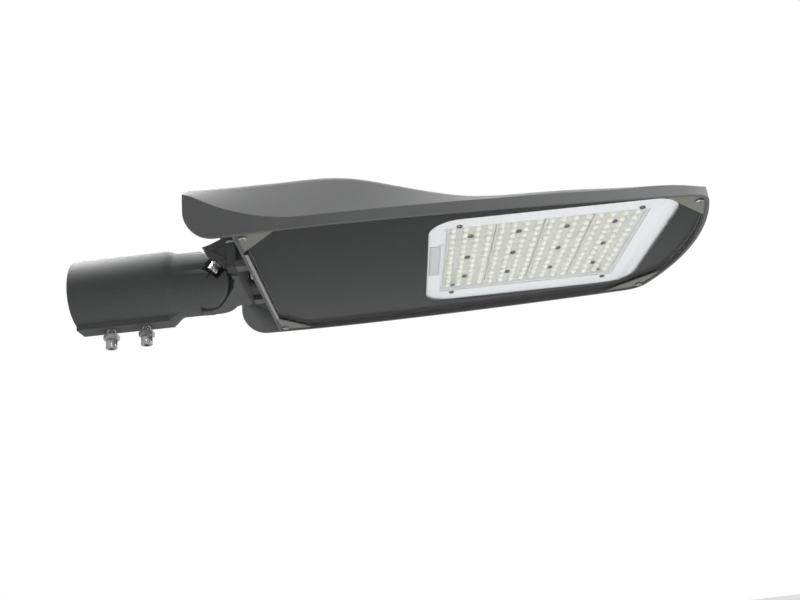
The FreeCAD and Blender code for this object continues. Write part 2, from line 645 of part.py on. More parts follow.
def section(x, inset):
    """Closed section of the canopy's upper form at one place, drawn in by a wall."""
    width, crease = half_width(x), crease_height(x)
    edge_y, edge_z = upper_edge(x)
    slope = (crease - edge_z) / (width - edge_y)
    drop = inset * math.hypot(1, slope)
    edge_z = edge_z - inset
    edge_y = edge_y + (drop - inset) / slope
    reach_z = edge_z + slope * (SIDE_REACH - edge_y)
    soft = size("edge_rounding")
    down = soft / math.hypot(1, slope)
    rise = crown_rise(x)
    side = Vector(x, edge_y + down, edge_z + down * slope)
    corner = Vector(x, edge_y, edge_z)
    over = Vector(x, edge_y - soft, edge_z + 2 * rise * soft / edge_y)
    peak = Vector(x, 0, over.z + (edge_y - soft) * 2 * rise / edge_y)

    def far(point):
        return Vector(point.x, -point.y, point.z)

    edges = []
    right = [Vector(x, SIDE_REACH, FLOOR), Vector(x, SIDE_REACH, reach_z), side]
    left = [far(point) for point in reversed(right)]
    for first, second in zip(right, right[1:]):
        edges.append(Part.LineSegment(first, second).toShape())
    for poles in ((side, corner, over), (over, peak, far(over)), (far(over), far(corner), far(side))):
        curve = Part.BezierCurve()
        curve.setPoles(list(poles))
        edges.append(curve.toShape())
    for first, second in zip(left, left[1:]):
        edges.append(Part.LineSegment(first, second).toShape())
    edges.append(Part.LineSegment(left[-1], right[0]).toShape())
    return Part.Wire(edges)


def upper_form(name, inset):
    """Loft of the canopy's sections."""
    sections = [
        shape_feature(f"{name}_section_{index}", section(x, inset)) for index, x in enumerate(SECTION_X)
    ]
    loft = doc.addObject("Part::Loft", name)
    loft.Sections = sections
    loft.Solid = True
    loft.Ruled = False
    return loft


def plan_face(rear_x, inset):
    """Plan of the canopy from a rear edge to the tip, drawn in by an inset."""
    end_x, end_y = size("tip_corner_x"), size("front_half_width")
    side_x = [rear_x + (end_x - rear_x) * step / 8 for step in range(9)]
    side = Part.BSplineCurve()
    side.interpolate([Vector(x, half_width(x) - inset, 0) for x in side_x])
    centre_x = size("tip_x") - size("tip_radius")
    radius = size("tip_radius") - inset
    turn = math.asin(size("tip_corner_y") / size("tip_radius"))
    tip_start = Vector(centre_x + radius * math.cos(turn), radius * math.sin(turn), 0)
    tip_end = Vector(tip_start.x, -tip_start.y, 0)
    side_end = side.value(side.LastParameter)
    side_way = side.tangent(side.LastParameter)[0]
    tip_way = Vector(math.sin(turn), -math.cos(turn), 0)
    gap = side_end - tip_start
    span = side_way.x * tip_way.y - side_way.y * tip_way.x
    reach = (gap.y * tip_way.x - gap.x * tip_way.y) / span
    corner = side_end + side_way * reach
    bend = Part.BezierCurve()
    bend.setPoles([side_end, corner, tip_start])
    upper = [side.toShape(), bend.toShape()]
    lower = [edge.mirror(Vector(0, 0, 0), Vector(0, 1, 0)) for edge in upper]
    tip = Part.Arc(tip_start, Vector(centre_x + radius, 0, 0), tip_end).toShape()
    start = side.value(side.FirstParameter)
    back = Part.LineSegment(Vector(start.x, -start.y, 0), start).toShape()
    return Part.Face(Part.Wire(Part.__sortEdges__(upper + [tip] + lower + [back])))


def plan_solid(name, rear_x, inset, height, z):
    """Prism of the canopy's plan, drawn in by an inset."""
    face = shape_feature(name + "_face", plan_face(rear_x, inset))
    place(face, z=z)
    solid = prism(name, face, height)
    solid.DirMode = "Custom"
    solid.Dir = Vector(0, 0, 1)
    return solid


# Blanks start behind the hood and reach past both sides and the tip.
BEHIND = "$hood_x - 30"
ACROSS = "2 * $wide_half_width + 38"
ALONG = "$tip_x"
TALL = "$hump_edge + 74"

# Canopy: upper form within the plan, hollowed for the hood, the driver bay and the light bay.
outer_form = upper_form("outer_form", 0)
inner_form = upper_form("inner_form", size("shell_wall"))
SEAT = "-$seat_drop"
RIM = "-$rim_drop"
plan_block = plan_solid("plan_block", size("hood_x"), 0, TALL, RIM)
canopy_block = common("canopy_block", outer_form, plan_block)

fin_form = doc.addObject("Part::Loft", "fin_form")
fin_form.Sections = outer_form.Sections
fin_form.Solid = True
fin_form.Ruled = False
fin_form.setExpression("Placement.Base.z", "Sizes.fin_rise")
fin_blanks = [
    slab(f"fin_blank_{index}", "$fin_end - $fin_start", "$fin_wall", "60", "$fin_start", "5",
         f"{index - (int(size('fin_count')) - 1) / 2} * $fin_pitch")
    for index in range(int(size("fin_count")))
]
fins = common("fins", fuse("fin_row", *fin_blanks), fin_form)

hood_plan = plan_solid("hood_plan", result(BEHIND), size("shell_wall"), TALL, "$rim_drop * -2")
hood_slab = slab("hood_slab", f"$bay_wall_x - ({BEHIND})", ACROSS, TALL, BEHIND, "$rim_drop * -2")
hood_low = slab("hood_low", f"$bay_wall_x - ({BEHIND}) + $wall_step", ACROSS,
                "$rim_drop * 2 - $wall_step_drop", BEHIND, "$rim_drop * -2")
hood_room = common("hood_room", inner_form, hood_plan, fuse("hood_blocks", hood_slab, hood_low))
corner_block = slab("corner_block", "$hood_corner + 1", ACROSS, "$hood_corner + 1",
                    "$hood_x - 1", f"{RIM} - 1")
corner_round = rod("corner_round", "$hood_corner", f"{ACROSS} + 2", "$hood_x + $hood_corner",
                   f"-({ACROSS}) / 2 - 1", f"{RIM} + $hood_corner", ALONG_Y)
hood_round = cut("hood_round", corner_block, corner_round)

BAY_INSET = size("rim_wall") + size("ledge_width")
bay_plan = plan_solid("bay_plan", result(BEHIND), BAY_INSET, TALL, SEAT)
BAY_START = "($bay_wall_x + $bay_wall)"
bay_low = slab("bay_low", "$partition_x - $glass_start - $ledge_width", ACROSS, "12",
               "$glass_start + $ledge_width", SEAT)
bay_high = slab("bay_high", f"$partition_x - {BAY_START}", ACROSS, TALL, BAY_START, "0")
driver_room = common("driver_room", inner_form, bay_plan, fuse("bay_blocks", bay_low, bay_high))
LIGHT_START = "$partition_x + $partition_wall"
light_low = slab("light_low", ALONG, ACROSS, "$seat_drop - $frame_drop + 0.2", LIGHT_START, SEAT)
light_high = slab("light_high", "$board_length + 26", "$board_width + 24",
                  "$seat_drop + $board_face + $board_wall", "$array_x - $board_length / 2 - 10", SEAT)
light_room = common("light_room", bay_plan, fuse("light_blocks", light_low, light_high))

RIM_HEIGHT = "$rim_drop - $seat_drop + 1"
rim_plan = plan_solid("rim_plan", result(BEHIND), size("rim_wall"), RIM_HEIGHT, f"{RIM} - 1")
rim_slab = slab("rim_slab", ALONG, ACROSS, RIM_HEIGHT, BAY_START, f"{RIM} - 1")
rim_room = common("rim_room", rim_plan, rim_slab)


def corner_prisms(name, grow, height, z):
    """Blanks over the rear corner and the tip corner of the near side."""
    reach = "$wide_half_width + 5"
    rear = plan_prism(
        f"{name}_rear",
        [("$rail_start", f"-({reach})"), (f"$rail_start + $rear_clip_x + ({grow})", f"-({reach})"),
         ("$rail_start", f"-({reach}) + $rear_clip_y + ({grow})")],
        height, z)
    apex, side = "$tip_x + 17", "$front_half_width + 4.5"
    front = plan_prism(
        f"{name}_front",
        [(f"{apex} - $tip_clip_x - ({grow})", f"-({side})"), (apex, f"-({side})"),
         (apex, f"-({side}) + $tip_clip_y + ({grow})")],
        height, z)
    return rear, front


def four_corners(name, grow, height, z):
    """Blanks over all four corners."""
    rear, front = corner_prisms(name, grow, height, z)
    return fuse(name, rear, front, mirrored(f"{name}_rear_far", rear), mirrored(f"{name}_front_far", front))


boss_corners = four_corners("boss_corners", "-$clip_overlap - $glass_gap",
                            "$glass_drop - $seat_drop", "-$glass_drop")
rim_cutter = cut("rim_cutter", rim_room, boss_corners)

SCREW_SPOTS = [
    (place_x, f"{side} * {place_y}")
    for place_x, place_y in (("$rear_screw_x", "$rear_screw_y"), ("$tip_screw_x", "$tip_screw_y"))
    for side in (-1, 1)
]
clip_holes = [
    rod(f"clip_hole_{index}", "$clip_screw_diameter / 2", "$clip_screw_length - $clip_wall + 0.5",
        x, y, "-$glass_drop - 1")
    for index, (x, y) in enumerate(SCREW_SPOTS)
]
FLANGE_BACK = "$flange_x + $flange_wall"
wall_pads = [
    rod(f"wall_pad_{index}", "$pad_radius", f"$bay_wall_x + 1 - ({FLANGE_BACK})", FLANGE_BACK,
        *fix_place(side, level), ALONG_X)
    for index, (side, level) in enumerate(FIX_SPOTS)
]
wall_stops = [
    slab(f"wall_stop_{index}", f"$bay_wall_x + 3 - ({FLANGE_BACK} + 1)", "$stop_width", "$stop_height",
         f"{FLANGE_BACK} + 1", "-$stop_low", f"{side} * $stop_y")
    for index, side in enumerate((-1, 1))
]
wall_holes = [
    rod(f"wall_hole_{index}", "$fix_diameter / 2 + 0.3", f"$bay_wall_x + $bay_wall + 1 - ({FLANGE_BACK} - 1)",
        f"{FLANGE_BACK} - 1", *fix_place(side, level), ALONG_X)
    for index, (side, level) in enumerate(FIX_SPOTS)
]
EARTH_SPOT = ("-$earth_y", "-$earth_drop")
earth_hole = rod("earth_hole", "$clip_screw_diameter / 2", "$earth_depth", "$bay_wall_x",
                 *EARTH_SPOT, ALONG_X)
gland_hole = rod("gland_hole", "$gland_diameter / 2 + 0.2", "$bay_wall + 2", "$bay_wall_x - 1",
                 "0", "$gland_z", ALONG_X)
vent_hole = rod("vent_hole", "$vent_diameter / 2 - 2", "$bay_wall + 2", "$bay_wall_x - 1",
                "$vent_y", "$vent_z", ALONG_X)
wire_slot = slab("wire_slot", "12", "30", "7", "$partition_x - 1", "-5", "$cover_shift")
bosses = []
boss_holes = []
DRIVER_SPOTS = [("$driver_x - 5", "$driver_y"), ("$driver_x + $driver_length + 5", "$driver_y")]
BLOCK_SPOTS = [("$block_x + 4", "$block_y"), ("$block_x + $block_length - 4", "$block_y")]
SURGE_SPOTS = [("$surge_x - 5", "$block_y"), ("$surge_x + $surge_length + 5", "$block_y")]
BOSS_SPOTS = DRIVER_SPOTS + BLOCK_SPOTS + SURGE_SPOTS
for index, (x, y) in enumerate(BOSS_SPOTS):
    bosses.append(rod(f"boss_{index}", "4.5", "40", x, y, "$bay_roof"))
    boss_holes.append(rod(f"boss_hole_{index}", "$clip_screw_diameter / 2", "8", x, y, "$bay_roof - 1"))
boss_row = common("boss_row", fuse("boss_posts", *bosses), outer_form)
GRID = [(column, row) for column in range(4) for row in range(3)]
LENS_SCREWS = [
    (f"$array_x + {4 * column - 6} * $lens_pitch_x", f"{4 * row - 4} * $lens_pitch_y")
    for column, row in GRID
]
BOARD_SCREWS = [
    (f"$array_x + {across} * 7 * $lens_pitch_x", f"{up} * 6 * $lens_pitch_y")
    for across in (-1, 1) for up in (-1, 1)
]
board_holes = [
    rod(f"board_hole_{index}", "$small_screw_diameter / 2", "$small_screw_length - 2.8", x, y, "$board_face")
    for index, (x, y) in enumerate(LENS_SCREWS + BOARD_SCREWS)
]
channels = [
    slab(f"channel_{index}", "$channel_end - $channel_start", "$fin_pitch - $fin_wall", "60",
         "$channel_start", "$channel_floor", f"{index - (int(size('fin_count')) - 2) / 2} * $fin_pitch")
    for index in range(int(size("fin_count")) - 1)
]
hollow = cut("hollow", fuse("canopy_solid", canopy_block, fins), hood_room, hood_round, driver_room,
             light_room, rim_cutter, *channels)
canopy_bossed = fuse("canopy_bossed", hollow, boss_row, *wall_pads, *wall_stops)
canopy = cut("canopy", canopy_bossed, *clip_holes, *wall_holes, gland_hole, vent_hole, earth_hole,
             wire_slot, *boss_holes, *board_holes)

# Glass, its printed border, gasket, rail and corner clips.
GLASS_INSET = size("rim_wall") + size("glass_gap")
glass_plan = plan_solid("glass_plan", result(BEHIND), GLASS_INSET, "$glass_wall", "-$glass_drop")
glass_slab = slab("glass_slab", ALONG, ACROSS, "$glass_wall", "$glass_start", "-$glass_drop")
glass_corners = four_corners("glass_corners", "-$clip_overlap", "$glass_wall + 2", "-$glass_drop - 1")
glass_pane = cut("glass_pane", common("glass_sheet", glass_plan, glass_slab), glass_corners)


def window_prism(name, height, z):
    """Rounded window, as a crossed pair of slabs with four round posts."""
    length, corner = "$window_end - $window_start", "$window_corner"
    long_slab = slab(name + "_long", length, f"$window_width - 2 * {corner}", height, "$window_start", z)
    wide_slab = slab(name + "_wide", f"{length} - 2 * {corner}", "$window_width", height,
                     f"$window_start + {corner}", z)
    posts = [
        rod(f"{name}_post_{end}_{side}", corner, height,
            f"($window_start + $window_end) / 2 + {end} * (({length}) / 2 - {corner})",
            f"{side} * ($window_width / 2 - {corner})", z)
        for end in (-1, 1) for side in (-1, 1)
    ]
    return fuse(name, long_slab, wide_slab, *posts)


INNER_FACE = "-$glass_drop + $glass_wall"
print_plan = plan_solid("print_plan", result(BEHIND), GLASS_INSET + 1, "$print_wall", INNER_FACE)
print_slab = slab("print_slab", ALONG, ACROSS, "$print_wall", "$glass_start + 1", INNER_FACE)
print_corners = four_corners("print_corners", "-$clip_overlap + 1", "$print_wall + 2", f"{INNER_FACE} - 1")
glass_print = cut("glass_print", common("print_sheet", print_plan, print_slab), print_corners,
                  window_prism("print_window", "$print_wall + 2", f"{INNER_FACE} - 1"))

PRINT_FACE = f"{INNER_FACE} + $print_wall"
GASKET = "$glass_drop - $glass_wall - $print_wall - $seat_drop"
GASKET_INSET = size("rim_wall") + 3
gasket_plan = plan_solid("gasket_plan", result(BEHIND), GASKET_INSET, GASKET, PRINT_FACE)
gasket_slab = slab("gasket_slab", ALONG, ACROSS, GASKET, "$glass_start + 2", PRINT_FACE)
gasket_hole = plan_solid("gasket_hole", result(BEHIND), GASKET_INSET + size("gasket_width"), "20", "-15")
gasket_inside = slab("gasket_inside", ALONG, ACROSS, "20", "$glass_start + 2 + $gasket_width", "-15")
gasket_corners = four_corners("gasket_corners", "-$clip_overlap + 1.5", "20", "-15")
gasket_core_corners = four_corners("gasket_core_corners", "-$clip_overlap + 1.5 + 1.8 * $gasket_width",
                                   "20", "-15")
gasket_core = cut("gasket_core", common("gasket_core_sheet", gasket_hole, gasket_inside), gasket_core_corners)
gasket_sheet = cut("gasket_sheet", common("gasket_outer", gasket_plan, gasket_slab), gasket_corners)
glass_gasket = cut("glass_gasket", gasket_sheet, gasket_core)

glass_rail = slab("glass_rail", "$glass_start - $rail_start - $glass_gap / 2", "$rail_length",
                  "$rim_drop - $seat_drop - 0.2", "$rail_start", RIM)

CLIP_Z = "-$glass_drop - $clip_wall"
clip_plan = plan_solid("clip_plan", result(BEHIND), size("rim_wall") + 0.4, "$clip_wall", CLIP_Z)
rear_blank, tip_blank = corner_prisms("clip_blank", "0", "$clip_wall", CLIP_Z)
clip_hole_rods = [
    rod(f"clip_clear_{index}", "$clip_screw_diameter / 2 + 0.2", "$clip_wall + 2", x, y, CLIP_Z + " - 1")
    for index, (x, y) in enumerate(SCREW_SPOTS)
]
clip_shapes = {
    "clip_near_rear": common("clip_near_rear_sheet", clip_plan, rear_blank),
    "clip_far_rear": common("clip_far_rear_sheet", clip_plan, mirrored("rear_blank_far", rear_blank)),
    "clip_near_tip": common("clip_near_tip_sheet", clip_plan, tip_blank),
    "clip_far_tip": common("clip_far_tip_sheet", clip_plan, mirrored("tip_blank_far", tip_blank)),
}
clips = [
    cut(name, sheet_shape, clip_hole_rods[index])
    for index, (name, sheet_shape) in enumerate(clip_shapes.items())
]


def pan_screw(name, diameter, length, head_diameter, head_length, x, y, face_z):
    """Screw driven upward: its head lies under the given face and has a cross slot."""
    shank = rod(name + "_shank", f"{diameter} / 2", length, x, y, face_z)
    head_disc = cone(name + "_head", f"{head_diameter} / 2", f"{head_diameter} / 2 - {head_length} / 4",
                     head_length, x, y, face_z, DOWNWARD)
    slots = [
        box(f"{name}_slot_{index}", long, wide, "1", f"{x} - {long} / 2", f"{y} - {wide} / 2",
            f"{face_z} - ({head_length})")
        for index, (long, wide) in enumerate((("3", "0.8"), ("0.8", "3")))
    ]
    return cut(name, fuse(name + "_whole", shank, head_disc), *slots)


clip_screws = [
    pan_screw(f"clip_screw_{index}", "$clip_screw_diameter", "$clip_screw_length - 1", "$clip_head_diameter",
              "$clip_head_length", x, y, CLIP_Z)
    for index, (x, y) in enumerate(SCREW_SPOTS)
]

# Light engine: board, chips, four lens plates, screws, light frame and cable cover.
board_plain = slab("board_plain", "$board_length", "$board_width", "$board_wall",
                   "$array_x - $board_length / 2", "$board_face")
board_screw_holes = [
    rod(f"board_clear_{index}", "$small_screw_diameter / 2 + 0.2", "$board_wall + 2", x, y, "$board_face - 1")
    for index, (x, y) in enumerate(LENS_SCREWS + BOARD_SCREWS)
]
led_board = cut("led_board", board_plain, *board_screw_holes)
LENS_ROWS = 12
LENS_COLUMNS = 16


def grid_solids(name, columns, maker):
    """One solid made at every lens of the given columns."""
    things = []
    for column in columns:
        for row in range(LENS_ROWS):
            x = f"$array_x + {column - (LENS_COLUMNS - 1) / 2} * $lens_pitch_x"
            y = f"{row - (LENS_ROWS - 1) / 2} * $lens_pitch_y"
            things.append(maker(f"{name}_{column}_{row}", x, y))
    return things


def chip(name, x, y):
    """One LED on the board."""
    return box(name, "$chip_size", "$chip_size", "$chip_wall", f"{x} - $chip_size / 2",
               f"{y} - $chip_size / 2", "$board_face - $chip_wall")


def dome(name, x, y):
    """One lens under the plate's base."""
    return cone(name, "$lens_diameter / 2", "$lens_tip_diameter / 2", "$lens_rise", x, y,
                "$board_face - $plate_wall + 0.01", DOWNWARD)


led_chips = group("led_chips", *grid_solids("chip", range(LENS_COLUMNS), chip))
lens_plates = []
for index in range(4):
    columns = range(4 * index, 4 * index + 4)
    start = f"$array_x + {4 * index - 8} * $lens_pitch_x + $plate_gap / 2"
    base = slab(f"plate_base_{index}", "4 * $lens_pitch_x - $plate_gap", "12 * $lens_pitch_y",
                "$plate_wall", start, "$board_face - $plate_wall")
    pockets = [
        box(f"pocket_{column}_{row}", "$chip_size + 0.6", "$chip_size + 0.6", "$chip_wall + 0.2",
            f"$array_x + {column - 7.5} * $lens_pitch_x - $chip_size / 2 - 0.3",
            f"{row - 5.5} * $lens_pitch_y - $chip_size / 2 - 0.3", "$board_face - $chip_wall - 0.2")
        for column in columns for row in range(LENS_ROWS)
    ]
    holes = [
        rod(f"plate_hole_{index}_{row}", "$small_screw_diameter / 2 + 0.2", "$plate_wall + 2",
            f"$array_x + {4 * index - 6} * $lens_pitch_x", f"{4 * row - 4} * $lens_pitch_y",
            "$board_face - $plate_wall - 1")
        for row in range(3)
    ]
    notches = [
        rod(f"plate_notch_{index}_{number}", "$small_head_diameter / 2 + 0.4", "$plate_wall + 2", x, y,
            "$board_face - $plate_wall - 1")
        for number, (x, y) in enumerate(BOARD_SCREWS)
    ]
    domes = grid_solids("dome", columns, dome)
    lens_plates.append(cut(f"lens_plate_{index + 1}", fuse(f"plate_whole_{index}", base, *domes),
                           *pockets, *holes, *notches))

lens_screws = [
    pan_screw(f"lens_screw_{index}", "$small_screw_diameter", "$small_screw_length - 2",
              "$small_head_diameter", "$small_head_length", x, y, "$board_face - $plate_wall")
    for index, (x, y) in enumerate(LENS_SCREWS)
]
board_screws = [
    pan_screw(f"board_screw_{index}", "$small_screw_diameter", "$small_screw_length - 3",
              "$small_head_diameter", "$small_head_length", x, y, "$board_face")
    for index, (x, y) in enumerate(BOARD_SCREWS)
]

frame_plan = plan_solid("frame_plan", result(BEHIND), BAY_INSET + 0.8, "$frame_wall + 4",
                        "-$frame_drop - $frame_wall")
FRAME_LENGTH = "$frame_end - $frame_start"
frame_sheet = slab("frame_sheet", FRAME_LENGTH, "$frame_width", "$frame_wall", "$frame_start",
                   "-$frame_drop - $frame_wall")
OPENING = "$board_length + 2 * $frame_gap"
lip = slab("frame_lip", f"{OPENING} + 2 * $frame_wall", "$board_width + 2 * $frame_gap + 2 * $frame_wall",
           "$frame_drop + $board_face", "$array_x - ($board_length / 2 + $frame_gap + $frame_wall)",
           "-$frame_drop - $frame_wall")
slope = side_prism(
    "frame_slope_body",
    [("$array_x + $board_length / 2", "-$frame_drop"),
     ("$array_x + $board_length / 2 + $frame_slope", "-$frame_drop - $frame_wall"),
     ("$array_x + $board_length / 2 + $frame_slope", "-$frame_drop - $frame_wall - 0.6"),
     ("$array_x + $board_length / 2 + $frame_slope - 3", "-$frame_drop - $frame_wall - 0.6")],
    "$board_width + 44")
frame_opening = slab("frame_opening", OPENING, "$board_width + 2 * $frame_gap", "20",
                     "$array_x - $board_length / 2 - $frame_gap", "-15")
cover_cut = slab("cover_cut", "$cover_length + 0.4", "$cover_width + 0.4", "20",
                 "$frame_start + 1.8", "-15", "$cover_shift")
frame_whole = fuse("frame_whole", common("frame_outer", frame_sheet, frame_plan), lip, slope)
light_frame = cut("light_frame", frame_whole, frame_opening, cover_cut)
cover_plain = slab("cover_plain", "$cover_length", "$cover_width", "$frame_wall + 0.6", "$frame_start + 2",
                   "-$frame_drop - $frame_wall - 0.6", "$cover_shift")
cover_hollow = slab("cover_hollow", "$cover_length - 2", "$cover_width - 2", "$frame_wall",
                    "$frame_start + 3", "-$frame_drop - $frame_wall + 0.6", "$cover_shift")
cable_cover = cut("cable_cover", cover_plain, cover_hollow)

# Driver bay: driver, terminal block, surge protector and their screws.
ROOF = "$bay_roof"
driver_case = slab("driver_case", "$driver_length", "$driver_width", "$driver_height", "$driver_x",
                   f"{ROOF} - $driver_height", "$driver_y")
driver_feet = slab("driver_feet", "$driver_length + 20", "20", "2", "$driver_x - 10",
                   f"{ROOF} - 2", "$driver_y")
driver_holes = [
    rod(f"driver_hole_{index}", "$clip_screw_diameter / 2 + 0.3", "6", x, y, f"{ROOF} - 4")
    for index, (x, y) in enumerate(DRIVER_SPOTS)
]
driver = cut("driver", fuse("driver_whole", driver_case, driver_feet), *driver_holes)
block_case = slab("block_case", "$block_length", "$block_width", "$block_height", "$block_x",
                  f"{ROOF} - $block_height", "$block_y")
block_holes = [
    rod(f"block_hole_{index}", "$clip_screw_diameter / 2 + 0.3", "$block_height + 2", x, y,
        f"{ROOF} - $block_height - 1")
    for index, (x, y) in enumerate(BLOCK_SPOTS)
]
block_ports = [
    rod(f"block_port_{index}", "2.6", "14", f"$block_x + 12 + {index} * 8.5", "$block_y",
        f"{ROOF} - $block_height - 1")
    for index in range(4)
]
terminal_block = cut("terminal_block", block_case, *block_holes, *block_ports)
surge_case = slab("surge_case", "$surge_length", "$surge_width", "$surge_height", "$surge_x",
                  f"{ROOF} - $surge_height", "$block_y")
surge_feet = slab("surge_feet", "$surge_length + 20", "12", "2.5", "$surge_x - 10",
                  f"{ROOF} - 2.5", "$block_y")
surge_holes = [
    rod(f"surge_hole_{index}", "$clip_screw_diameter / 2 + 0.3", "6", x, y, f"{ROOF} - 4")
    for index, (x, y) in enumerate(SURGE_SPOTS)
]
surge_protector = cut("surge_protector", fuse("surge_whole", surge_case, surge_feet), *surge_holes)


def bay_screws(name, spots, wall):
    """Pan screws that hold one device to its bosses."""
    return [
        pan_screw(f"{name}_{index}", "$clip_screw_diameter", f"{wall} + 6", "$clip_head_diameter",
                  "$clip_head_length", x, y, f"{ROOF} - {wall}")
        for index, (x, y) in enumerate(spots)
    ]


driver_screws = bay_screws("driver_screw", DRIVER_SPOTS, "2")
device_screws = (bay_screws("block_screw", BLOCK_SPOTS, "$block_height")
                 + bay_screws("surge_screw", SURGE_SPOTS, "2.5"))

# Cable gland with its lock nut, and the vent plug, in the bay's rear wall.
gland_body = rod("gland_body", "$gland_diameter / 2", "$bay_wall + 8", "$bay_wall_x",
                 "0", "$gland_z", ALONG_X)
gland_collar = hexagon("gland_collar", "$gland_flats", "5", "$bay_wall_x - 5",
                       "0", "$gland_z", ALONG_X)
gland_cap = cone("gland_cap", "$gland_bore / 2 + 2", "$gland_flats / 2 - 0.5", "9", "$bay_wall_x - 14", "0",
                 "$gland_z", ALONG_X)
gland_hole_inner = rod("gland_hole_inner", "$gland_bore / 2", "40", "$bay_wall_x - 16",
                       "0", "$gland_z", ALONG_X)
gland_whole = fuse("gland_whole", gland_body, gland_collar, gland_cap)
cable_gland = cut("cable_gland", gland_whole, gland_hole_inner)
gland_nut_body = hexagon("gland_nut_body", "$gland_flats", "4", WALL_FRONT, "0", "$gland_z", ALONG_X)
gland_nut_bore = rod("gland_nut_bore", "$gland_diameter / 2", "6", WALL_FRONT + " - 1",
                     "0", "$gland_z", ALONG_X)
gland_nut = cut("gland_nut", gland_nut_body, gland_nut_bore)
vent_head = rod("vent_head", "$vent_diameter / 2", "3", "$bay_wall_x - 3", "$vent_y", "$vent_z", ALONG_X)
vent_stem = rod("vent_stem", "$vent_diameter / 2 - 2", "$bay_wall + 2", "$bay_wall_x",
                "$vent_y", "$vent_z", ALONG_X)
vent_plug = fuse("vent_plug", vent_head, vent_stem)

# Earth screw on the rear wall, beside the flange.
earth_shank = rod("earth_shank", "$clip_screw_diameter / 2", "$earth_depth - 0.4", "$bay_wall_x",
                  *EARTH_SPOT, ALONG_X)
earth_head = hexagon("earth_head", "$clip_head_diameter", "$clip_head_length",
                     "$bay_wall_x - $clip_head_length", *EARTH_SPOT, ALONG_X)
earth_screw = fuse("earth_screw", earth_shank, earth_head)

NODES = {
    "spigot_sleeve": spigot_sleeve,
    "clamp_screws": group("clamp_screws_set", *clamp_screws),
    "lock_nuts": group("lock_nuts_set", *lock_nuts),
    "tilt_bracket": tilt_bracket,
    "tilt_lock_screws": group("tilt_lock_screws_set", *lock_screws),
    "spring_washers": group("spring_washers_set", *spring_washers),
    "flat_washers": group("flat_washers_set", *flat_washers),
    "bracket_bolts": group("bracket_bolts_set", *fix_bolts),
    "bracket_washers": group("bracket_washers_set", *fix_washers),
    "canopy": canopy,
    "glass_pane": glass_pane,
    "glass_print": glass_print,
    "glass_gasket": glass_gasket,
    "glass_rail": glass_rail,
    "clip_near_rear": clips[0],
    "clip_far_rear": clips[1],
    "clip_near_tip": clips[2],
    "clip_far_tip": clips[3],
    "clip_screws": group("clip_screws_set", *clip_screws),
    "led_board": led_board,
    "led_chips": led_chips,
    "lens_plate_1": lens_plates[0],
    "lens_plate_2": lens_plates[1],
    "lens_plate_3": lens_plates[2],
    "lens_plate_4": lens_plates[3],
    "lens_screws": group("lens_screws_set", *lens_screws),
    "board_screws": group("board_screws_set", *board_screws),
    "light_frame": light_frame,
    "cable_cover": cable_cover,
    "driver": driver,
    "driver_screws": group("driver_screws_set", *driver_screws),
    "terminal_block": terminal_block,
    "surge_protector": surge_protector,
    "device_screws": group("device_screws_set", *device_screws),
    "cable_gland": cable_gland,
    "gland_nut": gland_nut,
    "vent_plug": vent_plug,
    "earth_screw": earth_screw,
}

doc.recompute()
faults = [
    thing.Name for thing in doc.Objects
    if "Invalid" in thing.State or "Error" in thing.State
    or (hasattr(thing, "Shape") and (thing.Shape.isNull() or not thing.Shape.isValid()))
]
if faults:
    raise SystemExit(f"not sound: {faults}")

os.makedirs("parts", exist_ok=True)
for name, thing in NODES.items():
    thing.Label = name
    thing.Shape.exportStep(f"parts/{name}.step")
    bounds = thing.Shape.BoundBox
    print(f"{name}: {len(thing.Shape.Solids)} solid(s), "
          f"x {bounds.XMin:.1f}..{bounds.XMax:.1f} y {bounds.YMin:.1f}..{bounds.YMax:.1f} "
          f"z {bounds.ZMin:.1f}..{bounds.ZMax:.1f}")
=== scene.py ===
import math

import bmesh
import bpy
from mathutils import Matrix, Vector


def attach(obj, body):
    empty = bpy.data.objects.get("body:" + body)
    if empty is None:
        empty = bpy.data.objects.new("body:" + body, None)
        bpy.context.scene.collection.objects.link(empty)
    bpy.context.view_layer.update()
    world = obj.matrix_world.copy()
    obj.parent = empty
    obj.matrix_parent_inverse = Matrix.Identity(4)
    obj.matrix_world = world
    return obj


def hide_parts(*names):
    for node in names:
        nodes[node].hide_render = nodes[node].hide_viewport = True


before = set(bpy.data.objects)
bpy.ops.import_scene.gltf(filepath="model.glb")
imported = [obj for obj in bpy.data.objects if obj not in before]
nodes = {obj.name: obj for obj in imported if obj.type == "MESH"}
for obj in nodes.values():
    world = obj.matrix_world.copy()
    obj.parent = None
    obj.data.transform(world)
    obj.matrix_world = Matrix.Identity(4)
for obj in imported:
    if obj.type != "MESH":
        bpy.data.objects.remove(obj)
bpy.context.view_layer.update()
scene = bpy.context.scene
mm = 0.001  # the frame is in metres
print("frame loaded")

# Camera: below and in front of the head, looking up at it
cameraView = {
    "place": (0.2872, -0.7168, -0.2997),
    "right": (0.99404695, 0.01505184, -0.10790784),
    "up": (0.10650838, -0.34285419, 0.93333112),
    "back": (-0.0229483, -0.93926804, -0.34241631),
    "lens": 36.0,
    "sensor": 36.0,
}


def addCamera(view):
    data = bpy.data.cameras.new("photoCamera")
    data.lens = view["lens"]
    data.sensor_width = view["sensor"]
    data.clip_start = 0.01
    camera = bpy.data.objects.new("photoCamera", data)
    turn = Matrix((view["right"], view["up"], view["back"])).transposed().to_4x4()
    camera.matrix_world = Matrix.Translation(view["place"]) @ turn
    scene.collection.objects.link(camera)
    scene.camera = camera


addCamera(cameraView)


# Node tools for the materials
def startMaterial(name):
    material = bpy.data.materials.new(name)
    material.use_nodes = True
    tree = material.node_tree
    shader = tree.nodes["Principled BSDF"]
    return material, tree, shader


